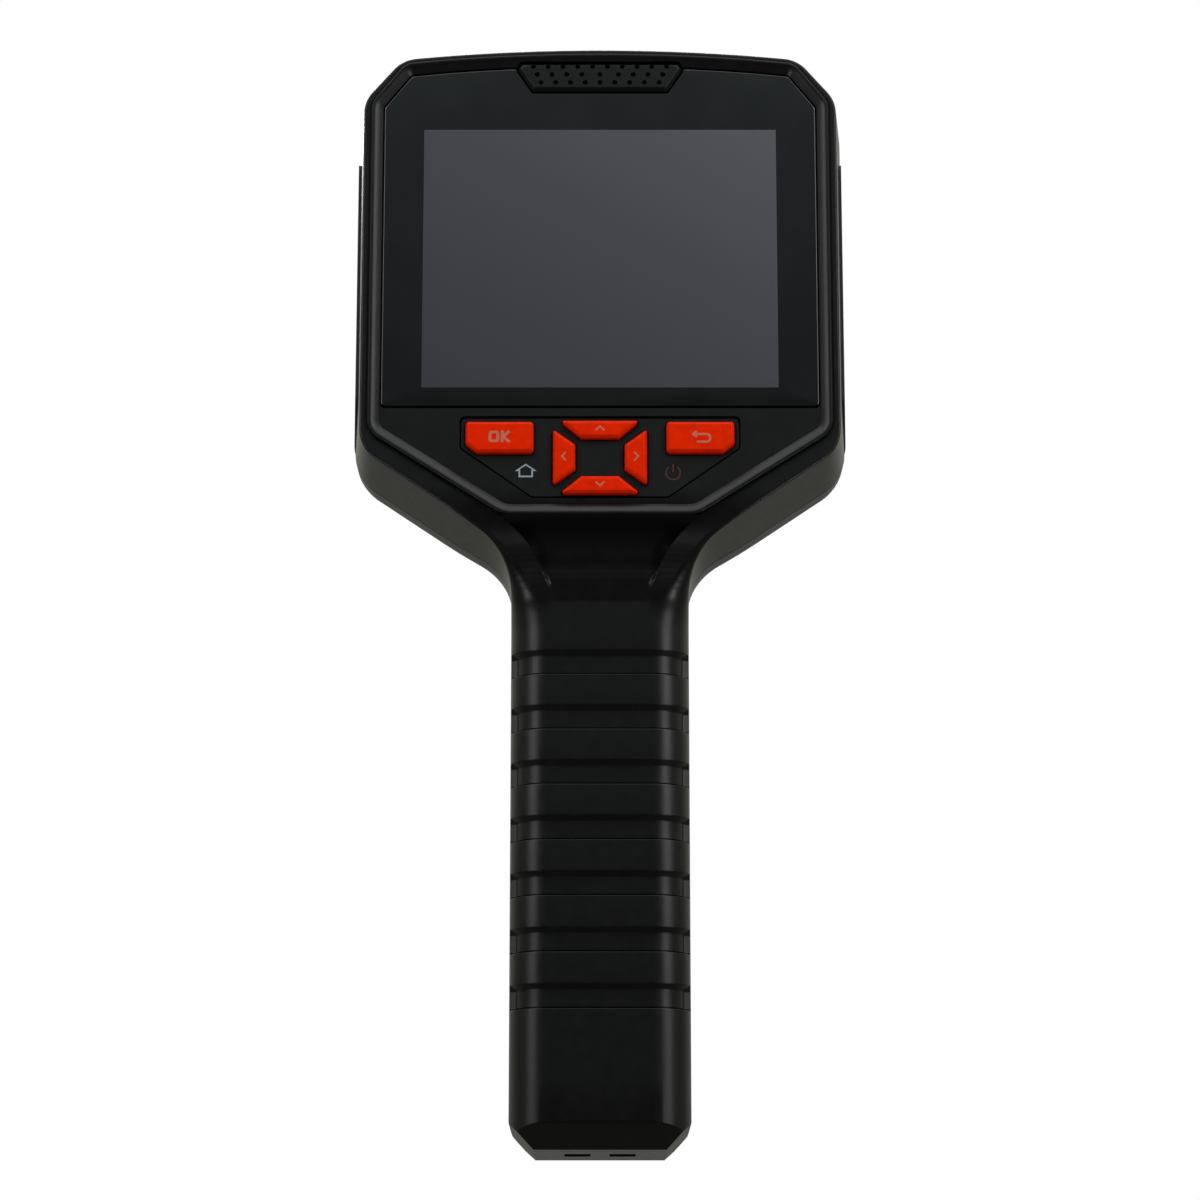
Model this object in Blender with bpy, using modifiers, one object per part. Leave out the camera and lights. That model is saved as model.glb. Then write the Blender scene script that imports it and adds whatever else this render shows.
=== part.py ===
"""Handheld thermal imaging camera: a paddle-shaped clamshell with a screen head and a ribbed grip.

Lengths below are millimetres and become metres when a mesh is made.
+Z runs up the grip, +Y is the way the lens looks, -Y is the screen side, and the
origin is the middle of the grip's flat base.
"""

import math

import bmesh
import bpy
from mathutils import Matrix, Vector

MM = 0.001
GAP = 0.3  # between neighbouring pieces
WALL = 2.2  # moulded wall of both shells

# ---- driving dimensions ---------------------------------------------------------------------
GRIP_HALF_WIDTH = 16.2
GRIP_REAR = -19.0
GRIP_FRONT = 19.0
HEAD_TOP = 201.34
HEAD_REAR = -27.0
HEAD_FRONT = 26.0
PARTING_REAR = -9.0
PARTING_FRONT = PARTING_REAR + GAP
HEAD_FLARE = 1.8  # how far the head swells from its rear edge to the parting plane
WIDEST_FRONT = -4.0  # the lens side keeps its full width up to here
NARROWING = 0.13  # share by which the head draws in from there to its front edge
NARROW_CENTRE = 175.0  # height the head draws in towards
BOW = 1.4  # power that makes the drawing in start gently
BOW_STEPS = 4
BOW_END = math.radians(30.0)  # slope at which the drawn-in side meets the front edge
CAVITY_FLOOR = 10.0  # height at which the hollow inside the grip starts

FASCIA = -27.1  # face of the screen window
RIDGE_CREST = -28.1
POCKET = -25.4  # floor of the pockets that hold the window and the key plate
KEY_PLATE_FACE = -26.6

RIB_COUNT = 7
RIB_PITCH = 10.05
RIB_TOP = 89.0
RIB_SLOPE = 1.0  # height of the slanted step at the top of a recessed band
RIB_BAND = 4.45  # height of a recessed band
RIB_DEPTH = 0.9

KEY_TRAVEL = 0.6
KEY_TOP = -28.0
KEY_SHOULDER = -27.4
KEY_FOOT = -23.3

BOARD_REAR, BOARD_FRONT = -17.0, -15.4
LENS_Z = 160.0
LENS_MOUTH = 62.0
PIVOT_Y, PIVOT_Z = 15.0, 95.0  # axis of the trigger's pin
TRIGGER_HALF, TRIGGER_Z = 6.2, (72.2, 97.8)
TRIGGER_PLAY = 1.6  # room in the shell above and below the trigger
COVER_HINGE_X, COVER_HINGE_Y = 45.6, 0.9
SHUTTER_PIVOT = (18.0, 146.0)
SHUTTER_SWING = 45.0  # degrees
BATTERY_Y = -2.0
BATTERY_RADIUS = 9.2
BATTERY_LOW, BATTERY_HIGH = 22.0, 87.0

ARC_STEPS = 4

PLATE_REAR, PLATE_FACE = 24.6, 27.0
BARREL_RADIUS = 20.0
EYE_X, EYE_Z, EYE_RADIUS = 8.0, 187.2, 4.2
PIN_RADIUS = 1.05
STRAP_X, STRAP_Y = (1.7, 6.4), (-2.6, 3.0)
CARD_FACE = -14.4
KEYPAD_BOARD = KEY_FOOT + KEY_TRAVEL + 1.9  # rear face of the board under the keys

# ---- scene and materials --------------------------------------------------------------------
for old in list(bpy.data.objects):
    bpy.data.objects.remove(old)

PARTS = bpy.data.collections.new("thermal_camera")
HELPERS = bpy.data.collections.new("cutters")
bpy.context.scene.collection.children.link(PARTS)
bpy.context.scene.collection.children.link(HELPERS)


def material(name, colour, roughness, metallic=0.0):
    mat = bpy.data.materials.new(name)
    mat.use_nodes = True
    shader = mat.node_tree.nodes["Principled BSDF"]
    shader.inputs["Base Color"].default_value = (*colour, 1.0)
    shader.inputs["Roughness"].default_value = roughness
    shader.inputs["Metallic"].default_value = metallic
    return mat


SHELL = material("shell_plastic", (0.018, 0.018, 0.019), 0.5)
INSERT = material("insert_plastic", (0.014, 0.014, 0.015), 0.55)
RUBBER = material("rubber", (0.012, 0.012, 0.012), 0.8)
ORANGE = material("orange_key", (0.75, 0.07, 0.012), 0.45)
GLASS = material("screen_glass", (0.012, 0.013, 0.015), 0.15)
SCREEN = material("display", (0.06, 0.065, 0.08), 0.3)
BOARD = material("circuit_board", (0.02, 0.13, 0.05), 0.5)
STEEL = material("steel", (0.55, 0.55, 0.56), 0.35, 1.0)
GERMANIUM = material("germanium", (0.42, 0.36, 0.34), 0.12, 1.0)
ALUMINIUM = material("aluminium", (0.32, 0.32, 0.34), 0.4, 1.0)
CELL = material("battery_wrap", (0.05, 0.16, 0.36), 0.4)
CLEAR = material("clear_lens", (0.5, 0.5, 0.52), 0.1)
RED_WIRE = material("red_wire", (0.5, 0.02, 0.015), 0.5)
BLACK_WIRE = material("black_wire", (0.02, 0.02, 0.02), 0.5)


# ---- modelling helpers ----------------------------------------------------------------------
def add_object(name, mesh, mat=None):
    """A piece when it has a material, otherwise a helper that only cuts or joins."""
    obj = bpy.data.objects.new(name, mesh)
    if mat is None:
        HELPERS.objects.link(obj)
        obj.hide_render = True
        obj.display_type = "WIRE"
    else:
        PARTS.objects.link(obj)
        mesh.materials.append(mat)
    return obj


def finish_mesh(name, bm, mat=None, smooth=True):
    bmesh.ops.recalc_face_normals(bm, faces=bm.faces)
    mesh = bpy.data.meshes.new(name)
    bm.to_mesh(mesh)
    bm.free()
    mesh.transform(Matrix.Scale(MM, 4))
    if smooth:
        mesh.shade_smooth()
        mesh.set_sharp_from_angle(angle=math.radians(35))
    return add_object(name, mesh, mat)


def box(name, x, y, z, mat=None, bevel=0.0):
    """A block between pairs of X, Y and Z limits."""
    bm = bmesh.new()
    bmesh.ops.create_cube(bm, size=1.0)
    size = Vector((x[1] - x[0], y[1] - y[0], z[1] - z[0]))
    middle = Vector((x[0] + x[1], y[0] + y[1], z[0] + z[1])) / 2
    bmesh.ops.scale(bm, vec=size, verts=bm.verts)
    bmesh.ops.translate(bm, vec=middle, verts=bm.verts)
    obj = finish_mesh(name, bm, mat, smooth=False)
    if bevel:
        add_bevel(obj, bevel)
    return obj


TURN = {
    "X": Matrix.Rotation(math.pi / 2, 4, "Y"),
    "Y": Matrix.Rotation(-math.pi / 2, 4, "X"),
    "Z": Matrix.Identity(4),
}


def cylinder(name, axis, centre, radius, length, mat=None, sides=20):
    bm = bmesh.new()
    bmesh.ops.create_cone(
        bm, cap_ends=True, segments=sides, radius1=radius, radius2=radius, depth=length
    )
    bmesh.ops.transform(
        bm, matrix=Matrix.Translation(centre) @ TURN[axis], verts=bm.verts
    )
    return finish_mesh(name, bm, mat)


def turned(name, axis, centre, profile, mat=None, sides=32):
    """A profile of (radius, height) points, down its outer side and back up inside, turned about an axis."""
    mesh = bpy.data.meshes.new(name)
    points = [(radius * MM, 0.0, height * MM) for radius, height in profile]
    closed = all(radius > 0 for radius, _ in profile)
    count = len(points)
    edges = [(i, i + 1) for i in range(count - 1)] + ([(count - 1, 0)] if closed else [])
    mesh.from_pydata(points, edges, [])
    obj = add_object(name, mesh, mat)
    obj.matrix_world = Matrix.Translation(Vector(centre) * MM) @ TURN[axis]
    screw = obj.modifiers.new("turn", "SCREW")
    screw.steps = screw.render_steps = sides
    screw.use_merge_vertices = True
    screw.merge_threshold = 1e-6
    return obj


def prism(name, outline, low, high, axis="Y", mat=None, bevel=0.0):
    """A flat outline given as (u, v) points, extruded along an axis from low to high.

    About Y the outline is (x, z), about X it is (y, z), and about Z it is (x, y).
    """
    curve = bpy.data.curves.new(name, "CURVE")
    curve.dimensions = "2D"
    curve.fill_mode = "BOTH"
    curve.extrude = (high - low) / 2
    spline = curve.splines.new("POLY")
    spline.points.add(len(outline) - 1)
    for point, (u, v) in zip(spline.points, outline):
        point.co = (u, v, 0.0, 1.0)
    spline.use_cyclic_u = True
    drawn = bpy.data.objects.new(name, curve)
    HELPERS.objects.link(drawn)
    bpy.context.view_layer.update()
    graph = bpy.context.evaluated_depsgraph_get()
    flat = bpy.data.meshes.new_from_object(drawn.evaluated_get(graph))
    bpy.data.objects.remove(drawn)
    bpy.data.curves.remove(curve)
    bm = bmesh.new()
    bm.from_mesh(flat)
    bpy.data.meshes.remove(flat)
    bmesh.ops.remove_doubles(bm, verts=bm.verts, dist=1e-4)
    bmesh.ops.dissolve_limit(bm, angle_limit=math.radians(0.5), verts=bm.verts, edges=bm.edges)
    middle = (low + high) / 2
    stand = {
        "Y": Matrix.Translation((0, middle, 0)) @ Matrix.Rotation(math.pi / 2, 4, "X"),
        "X": Matrix.Translation((middle, 0, 0))
        @ Matrix.Rotation(math.pi / 2, 4, "Z")
        @ Matrix.Rotation(math.pi / 2, 4, "X"),
        "Z": Matrix.Translation((0, 0, middle)),
    }[axis]
    bmesh.ops.transform(bm, matrix=stand, verts=bm.verts)
    obj = finish_mesh(name, bm, mat, smooth=False)
    if bevel:
        add_bevel(obj, bevel)
    return obj


def add_bevel(obj, width, segments=1):
    bevel = obj.modifiers.new("edge", "BEVEL")
    bevel.width = width * MM
    bevel.segments = segments
    bevel.limit_method = "ANGLE"
    bevel.angle_limit = math.radians(40)


def boolean(obj, operation, tools):
    for tool in tools:
        step = obj.modifiers.new(operation.lower(), "BOOLEAN")
        step.operation = operation
        step.object = tool
    return obj


def cut(obj, *tools):
    return boolean(obj, "DIFFERENCE", tools)


def join(obj, *tools):
    return boolean(obj, "UNION", tools)


def rounded(corners, steps=ARC_STEPS):
    """Closed or open chain of (u, v, radius) corners, each corner replaced by its arc."""
    points = []
    last = len(corners) - 1
    for i, (u, v, radius) in enumerate(corners):
        here = Vector((u, v))
        if radius == 0 or i in (0, last):
            points.append((u, v))
            continue
        back = (Vector(corners[i - 1][:2]) - here).normalized()
        ahead = (Vector(corners[i + 1][:2]) - here).normalized()
        half = back.angle(ahead) / 2
        reach = radius / math.tan(half)
        centre = here + (back + ahead).normalized() * (radius / math.sin(half))
        start = here + back * reach - centre
        turn = start.angle_signed(here + ahead * reach - centre)
        for k in range(steps + 1):
            arm = start.copy()
            arm.rotate(Matrix.Rotation(-turn * k / steps, 2))
            points.append(tuple(centre + arm))
    return points


def mirrored(half):
    """A closed outline from its right half, which runs from the top down."""
    return half + [(-u, v) for u, v in reversed(half)]


def offset(outline, distance):
    """A closed outline moved outwards by a distance, corner by corner."""
    area = sum(
        a[0] * b[1] - b[0] * a[1] for a, b in zip(outline, outline[1:] + outline[:1])
    )
    out = 1.0 if area > 0 else -1.0
    moved = []
    for i, point in enumerate(outline):
        here = Vector(point)
        before = (here - Vector(outline[i - 1])).normalized()
        after = (Vector(outline[(i + 1) % len(outline)]) - here).normalized()
        normals = [Vector((d.y, -d.x)) * out for d in (before, after)]
        middle = (normals[0] + normals[1]).normalized()
        moved.append(tuple(here + middle * (distance / middle.dot(normals[0]))))
    return moved


def stack(name, rings, mat=None):
    """A closed solid through rings of equal count, each an (x, z) outline at its own Y."""
    bm = bmesh.new()
    loops = [[bm.verts.new((u, y, v)) for u, v in outline] for outline, y in rings]
    bm.faces.new(loops[0])
    bm.faces.new(loops[-1])
    for lower, upper in zip(loops, loops[1:]):
        for i in range(len(lower)):
            j = (i + 1) % len(lower)
            bm.faces.new((lower[i], lower[j], upper[j], upper[i]))
    return finish_mesh(name, bm, mat)


def smooth_step(value, low, high):
    t = min(1.0, max(0.0, (value - low) / (high - low)))
    return t * t * (3 - 2 * t)


def through(points, value):
    """Straight-line value between (position, value) pairs that rise in position."""
    if value <= points[0][0]:
        return points[0][1]
    for (a, low), (b, high) in zip(points, points[1:]):
        if value <= b:
            return low + (high - low) * (value - a) / (b - a)
    return points[-1][1]


def origin_to(obj, place):
    """Moves the object's origin to a place on its joint's axis, and leaves its shape where it is."""
    shift = Vector(place) * MM
    obj.data.transform(Matrix.Translation(-shift))
    obj.location = shift


def wire(name, route, radius, mat):
    """A round wire with flat ends through a smooth curve that passes the route's points."""
    points = [Vector(p) for p in route]
    path = []
    for i in range(len(points) - 1):
        before, here = points[max(i - 1, 0)], points[i]
        there, after = points[i + 1], points[min(i + 2, len(points) - 1)]
        steps = max(1, round((there - here).length / (radius * 5)))
        for k in range(steps):
            t = k / steps
            path.append(
                0.5
                * (
                    2 * here
                    + (there - before) * t
                    + (2 * before - 5 * here + 4 * there - after) * t**2
                    + (3 * here - before - 3 * there + after) * t**3
                )
            )
    path.append(points[-1])
    curve = bpy.data.curves.new(name, "CURVE")
    curve.dimensions = "3D"
    curve.bevel_depth = radius * MM
    curve.bevel_resolution = 2
    curve.use_fill_caps = True
    spline = curve.splines.new("POLY")
    spline.points.add(len(path) - 1)
    for point, place in zip(spline.points, path):
        point.co = (*(place * MM), 1.0)
    curve.materials.append(mat)
    obj = bpy.data.objects.new(name, curve)
    PARTS.objects.link(obj)
    return obj


# ---- the paddle outline, which both shells share ----------------------------------------------
TOP_DROP = 1.9  # how far the arched top falls from its middle to its corner
TOP_CORNER_X = 36.6
DIAGONAL = math.radians(34.0)
FLANK_CORNER = (43.6, 124.6)
GRIP_BOTTOM_BELOW = -14.0  # the blank runs past the base, and the base plane cuts it


def rib_levels():
    """Heights where the grip's bands start, reach full depth, and end, from the top down."""
    levels = []
    for k in range(RIB_COUNT):
        top = RIB_TOP - k * RIB_PITCH
        levels += [top, top - RIB_SLOPE, top - RIB_BAND, top - RIB_BAND - 0.1]
    return levels


def rib_recess(z):
    for k in range(RIB_COUNT):
        top = RIB_TOP - k * RIB_PITCH
        if top - RIB_BAND - 0.05 < z < top - RIB_SLOPE / 2:
            return RIB_DEPTH
    return 0.0


def right_half(ribbed):
    """The paddle's right half as (x, z) points from the top down to the end of the grip blank."""
    arch = [
        (x, HEAD_TOP - TOP_DROP * (x / TOP_CORNER_X) ** 2) for x in (10.0, 20.0, 29.0)
    ]
    knee = FLANK_CORNER[1] - (FLANK_CORNER[0] - GRIP_HALF_WIDTH) * math.tan(DIAGONAL)
    corners = [
        (*arch[-1], 0.0),
        (TOP_CORNER_X, HEAD_TOP - TOP_DROP, 6.2),
        (43.6, 191.2, 6.2),
        (*FLANK_CORNER, 7.0),
        (GRIP_HALF_WIDTH, knee, 12.0),
        (GRIP_HALF_WIDTH, RIB_TOP + 3.0, 0.0),
    ]
    half = arch[:-1] + rounded(corners)
    if ribbed:
        half += [(GRIP_HALF_WIDTH, z) for z in rib_levels()]
    return half + [(GRIP_HALF_WIDTH, 12.0), (GRIP_HALF_WIDTH, GRIP_BOTTOM_BELOW)]


def head_share(z):
    """0 on the grip, 1 on the head, turning smoothly across the neck."""
    return smooth_step(z, 98.0, 114.0)


def half_shell(
    name, facing, parting, edge_out, level, edge_radius,
    inset=0.0, bowed=False, columns=(), recess=None, dip=None, mat=None,
):
    """One side of the paddle as a closed solid.

    facing is -1 for the screen side and +1 for the lens side. The sides rise from parting, a
    (Y, offset function) pair, to an edge that rounds over to the flat at level; where bowed, the
    head draws in on the way. columns are the shares of the half width where the flat is divided,
    dip is how far it is hollowed there, and recess is how deep the bands of the grip are.
    """
    half = right_half(ribbed=recess is not None)
    closed = mirrored(half)
    count = len(half)
    normals = [Vector(m) - Vector(p) for p, m in zip(closed, offset(closed, 1.0))]
    bm = bmesh.new()

    def ring(out, depth, drawn=0.0):
        loop = []
        for (x, z), normal in zip(closed, normals):
            move = normal * (out(z) - inset)
            share = drawn * NARROWING * head_share(z)
            up = z + move.y
            place = ((x + move.x) * (1 - share), depth(z), up + (NARROW_CENTRE - up) * share)
            loop.append(bm.verts.new(place))
        return loop

    def start(z):
        return BOW_END * head_share(z) if bowed else 0.0

    def edge(share, sunk=no_offset):
        """Offset and depth functions of the rounded edge, at a share of its quarter turn."""

        def angle(z):
            return start(z) + (math.pi / 2 - start(z)) * share

        def out(z):
            a = math.cos(angle(z))
            return edge_out(z) - edge_radius(z) * (1 - a) - sunk(z) * a

        def depth(z):
            a = math.sin(angle(z))
            return level(z) - facing * (edge_radius(z) * (1 - a) + sunk(z) * a)

        return out, depth

    loops = [ring(parting[1], lambda z: parting[0])]
    if bowed:
        foot_out, foot_depth = edge(0.0)
        for k in range(BOW_STEPS):
            t = k / BOW_STEPS

            def out(z, t=t):
                return edge_out(z) + (foot_out(z) - edge_out(z)) * t

            def depth(z, t=t):
                return WIDEST_FRONT + (foot_depth(z) - WIDEST_FRONT) * t

            loops.append(ring(out, depth, t**BOW))
    for k in range(ARC_STEPS + 1):
        sunk = recess if recess and k > 0 else no_offset
        loops.append(ring(*edge(k / ARC_STEPS, sunk), 1.0 if bowed else 0.0))
    for lower, upper in zip(loops, loops[1:]):
        for i in range(len(lower)):
            j = (i + 1) % len(lower)
            bm.faces.new((lower[i], lower[j], upper[j], upper[i]))

    def fill(loop, shares):
        """Fills a ring row by row, from each point to its mirrored one."""
        rows = []
        for i in range(count):
            right, left = loop[i], loop[2 * count - 1 - i]
            inner = []
            for share in shares if 0 < i < count - 1 else ():
                x, z = right.co.x * share, right.co.z
                inner.append(bm.verts.new((x, right.co.y + (dip(x, z) if dip else 0.0), z)))
            rows.append([right, *inner, left])
        for upper, lower in zip(rows, rows[1:]):
            if len(upper) != len(lower):
                bm.faces.new((*upper, *reversed(lower)))
                continue
            for k in range(len(upper) - 1):
                bm.faces.new((upper[k], upper[k + 1], lower[k + 1], lower[k]))

    fill(loops[0], ())
    fill(loops[-1], columns)
    return finish_mesh(name, bm, mat)


def slice_off(obj, point, normal):
    """Slices an object flat: what lies on the normal's side of the plane goes."""
    bm = bmesh.new()
    bm.from_mesh(obj.data)
    bmesh.ops.bisect_plane(
        bm,
        geom=[*bm.verts, *bm.edges, *bm.faces],
        plane_co=Vector(point) * MM,
        plane_no=Vector(normal),
        clear_outer=True,
    )
    rim = [edge for edge in bm.edges if edge.is_boundary]
    bmesh.ops.contextual_create(bm, geom=rim)
    bmesh.ops.recalc_face_normals(bm, faces=bm.faces)
    bm.to_mesh(obj.data)
    bm.free()


BASE_CORNER = 4.4  # 45 degree corners at the foot of the grip
BASE_BEVEL = (7.0, 4.3)  # depth and height of the sloping edge at the foot


def trim_base(obj, facing):
    """Cuts the grip blank to its base plane, its two corners and the slope at its foot."""
    slice_off(obj, (0, 0, 0), (0, 0, -1))
    for side in (-1, 1):
        slice_off(obj, (side * GRIP_HALF_WIDTH, 0, BASE_CORNER), (side, 0, -1))
    run, rise = BASE_BEVEL
    face = GRIP_REAR if facing < 0 else GRIP_FRONT
    slice_off(obj, (0, face, rise), (0, facing * rise, -run))


# ---- how deep the two shells are at each height ------------------------------------------------
def no_offset(z):
    return 0.0


def flare(z):
    return HEAD_FLARE * head_share(z)


def rear_level(z):
    return GRIP_REAR + (HEAD_REAR - GRIP_REAR) * head_share(z)


def rear_edge(z):
    return 6.6 + (1.0 - 6.6) * smooth_step(z, 99.0, 113.0)


def neck_dip(x, z):
    """The hollow below the screen, between two shoulders that run down into the grip."""
    if abs(x) > 15.0:
        return 0.0
    floor = [
        (97.6, GRIP_REAR),
        (98.6, -19.3),
        (102.0, -21.2),
        (107.5, -22.4),
        (111.6, -26.2),
        (113.0, HEAD_REAR),
    ]
    return max(0.0, through(floor, z) - rear_level(z))


def inner_rear_level(z):
    return through([(98.0, GRIP_REAR + WALL), (114.0, -23.6)], z)


def inner_rear_edge(z):
    return max(1.0, rear_edge(z) - WALL)


def front_level(z):
    return GRIP_FRONT + (HEAD_FRONT - GRIP_FRONT) * smooth_step(z, 100.0, 116.0)


def front_edge(z):
    return 11.0 + (4.0 - 11.0) * smooth_step(z, 98.0, 112.0)


def front_recess(z):
    """The finger side has the same bands, but none beside the trigger."""
    return rib_recess(z) if z < 66.0 else 0.0


def inner_front_level(z):
    return front_level(z) - through([(100.0, WALL), (116.0, 3.6)], z)


def inner_front_edge(z):
    return front_edge(z) - 2.0


# ---- outlines on the screen side ---------------------------------------------------------------
def ridge_half():
    """Right half of the raised rim's outer edge around the screen and keys."""
    top = HEAD_TOP - 1.1
    arch = [(x, top - TOP_DROP * (x / TOP_CORNER_X) ** 2) for x in (10.0, 20.0, 28.0)]
    corners = [
        (*arch[-1], 0.0),
        (36.0, top - TOP_DROP, 3.2),
        (42.1, 190.6, 3.2),
        (42.1, 127.5, 4.0),
        (17.6, 111.9, 6.0),
        (4.0, 111.9, 0.0),
    ]
    return arch[:-1] + rounded(corners, steps=3)


RIDGE = mirrored(ridge_half())
RIDGE_WIDTH = 2.1
WINDOW_BOTTOM = 132.0
LCD_HALF, LCD_FRONT, LCD_Z = 33.0, -21.0, (135.2, 186.0)


def window_half(gap):
    """Right half of the screen window, which fills the rim's upper part and clears the grille."""
    inner = offset(RIDGE, -RIDGE_WIDTH - gap)
    upper = [p for p in inner[: len(inner) // 2] if p[1] > 150.0]
    side = upper[-1][0]
    corner = rounded(
        [(*upper[-1], 0.0), (side, WINDOW_BOTTOM + gap, 0.9), (0.0, WINDOW_BOTTOM + gap, 0.0)],
        steps=2,
    )
    return upper + corner[1:-1]


GRILLE = [(15.2, 197.0), (14.6, 198.3), (-14.6, 198.3), (-15.2, 197.0), (-12.4, 192.8), (12.4, 192.8)]
HOLE_PITCH, HOLE_RADIUS = 2.74, 0.45
HOLE_ROWS = (197.5, 195.95, 194.4)
KEYPAD = mirrored(
    rounded(
        [(8.0, 130.5, 0.0), (25.4, 130.5, 1.0), (25.4, 124.4, 1.2), (12.4, 115.2, 1.2), (4.0, 115.2, 0.0)],
        steps=2,
    )
)

KEY_CENTRE_Z = 122.7
CORNER_KEY = rounded(
    [
        (18.0, 129.3, 0.0),
        (24.3, 129.3, 0.7),
        (24.3, 125.1, 0.5),
        (22.3, 123.5, 0.5),
        (12.0, 123.5, 0.7),
        (12.0, 129.3, 0.7),
        (18.0, 129.3, 0.0),
    ],
    steps=1,
)[:-1]
UP_KEY = [(7.3, 129.5), (3.4, 126.25), (-3.4, 126.25), (-7.3, 129.5)]
RIGHT_KEY = [(8.5, 127.9), (8.5, 117.5), (4.45, 120.4), (4.45, 125.0)]


def flipped(outline, across_x=False):
    """The outline mirrored left to right, or top to bottom about the pad's middle."""
    if across_x:
        return [(u, 2 * KEY_CENTRE_Z - v) for u, v in outline]
    return [(-u, v) for u, v in outline]


KEYS = {
    "ok": (flipped(CORNER_KEY), (-18.1, 126.4)),
    "back": (CORNER_KEY, (18.1, 126.4)),
    "up": (UP_KEY, (0.0, 127.7)),
    "down": (flipped(UP_KEY, across_x=True), (0.0, 117.7)),
    "left": (flipped(RIGHT_KEY), (-6.6, KEY_CENTRE_Z)),
    "right": (RIGHT_KEY, (6.6, KEY_CENTRE_Z)),
}
KEY_FLANGE = 0.75  # how far a key's foot reaches under the shell

# outline of the plate around the lens, on the far side of the head
FRONT_PLATE = mirrored(
    rounded(
        [(8.0, 193.4, 0.0), (30.0, 193.4, 6.0), (30.0, 140.0, 7.0), (22.0, 134.0, 7.0), (8.0, 134.0, 0.0)],
        steps=3,
    )
)

# ---- places that both shells share --------------------------------------------------------------
SCREWS = {
    "top_left": (-33.6, 191.0),
    "top_right": (33.6, 191.0),
    "low_left": (-31.4, 126.2),
    "low_right": (31.4, 126.2),
    "neck_left": (-11.2, 105.4),
    "neck_right": (11.2, 105.4),
    "base": (0.0, 14.6),
}
BOSS_RADIUS = 4.2
WELL_RADIUS = 3.0
SHANK_HOLE = 1.75
SCREW_SEAT = -2.0
SCREW_HEAD_RADIUS, SCREW_HEAD_HEIGHT = 2.6, 2.0
SCREW_SHANK_RADIUS, SCREW_LENGTH = 1.4, 14.4
HEX_RADIUS, HEX_DEPTH = 1.2, 1.1

PAD_X = (43.8, 45.6)
PAD_PROFILE = rounded(
    [(-8.0, 182.0, 0.0), (-18.6, 182.0, 1.5), (-18.6, 136.0, 2.0), (-9.0, 128.6, 2.0),
     (0.6, 128.6, 1.5), (0.6, 182.0, 1.0), (-8.0, 182.0, 0.0)],
    steps=2,
)[:-1]
PORT_Y = (-15.8, -11.6)
USB_Z = (154.8, 165.2)
CARD_Y = (-14.9, -12.9)
CARD_Z = (137.2, 148.8)


def screw_bosses(side, low, high):
    return [
        cylinder(f"{side}_boss_{name}", "Y", (x, (low + high) / 2, z), BOSS_RADIUS, high - low, sides=14)
        for name, (x, z) in SCREWS.items()
    ]


def pad_recesses():
    grown = offset(PAD_PROFILE, GAP)
    near, far = PAD_X[0] - GAP, PAD_X[1] + 4
    return [
        prism("recess_right", grown, near, far, "X"),
        prism("recess_left", grown, -far, -near, "X"),
    ]


# ---- the shells ---------------------------------------------------------------------------------
def make_rear_housing():
    shell = half_shell(
        "rear_housing", -1, (PARTING_REAR, flare), no_offset, rear_level, rear_edge,
        columns=(0.82, 0.55, 0.0, -0.55, -0.82), recess=rib_recess, dip=neck_dip, mat=SHELL,
    )
    trim_base(shell, -1)
    rim = stack("rim", [(RIDGE, -26.0), (RIDGE, -27.9), (offset(RIDGE, -0.25), RIDGE_CREST)])
    dish = stack(
        "dish",
        [
            (offset(RIDGE, -0.1), RIDGE_CREST - 0.7),
            (offset(RIDGE, -0.7), RIDGE_CREST),
            (offset(RIDGE, -RIDGE_WIDTH), FASCIA),
        ],
    )
    cavity = half_shell(
        "rear_cavity", -1, (PARTING_REAR + 1.0, flare), no_offset,
        inner_rear_level, inner_rear_edge, inset=WALL,
    )
    slice_off(cavity, (0, 0, CAVITY_FLOOR), (0, 0, -1))
    cut(cavity, *screw_bosses("rear", -30.0, 0.0))
    shanks = [
        cylinder(f"rear_tap_{name}", "Y", (x, -12.5, z), SHANK_HOLE, 9.0, sides=12)
        for name, (x, z) in SCREWS.items()
    ]
    join(shell, rim)
    cut(shell, dish, cavity, *shanks, *pad_recesses())
    cut(
        shell,
        prism("window_pocket", mirrored(window_half(0.0)), -30.0, POCKET),
        box(
            "display_opening", (-LCD_HALF - GAP, LCD_HALF + GAP), (-30.0, -20.0),
            (LCD_Z[0] - GAP, LCD_Z[1] + GAP),
        ),
        prism("grille_pocket", offset(GRILLE, GAP), -30.0, -20.0),
        prism("key_plate_pocket", KEYPAD, -30.0, POCKET),
        prism("key_room", offset(KEYPAD, 0.8), POCKET + 0.8, -20.0),
        *[
            prism(f"shell_hole_{name}", offset(outline, GAP), -30.0, -20.0)
            for name, (outline, _) in KEYS.items()
        ],
        box("usb_port", (40.0, 46.0), PORT_Y, USB_Z),
        box("card_port", (40.0, 46.0), CARD_Y, CARD_Z),
    )


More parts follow.
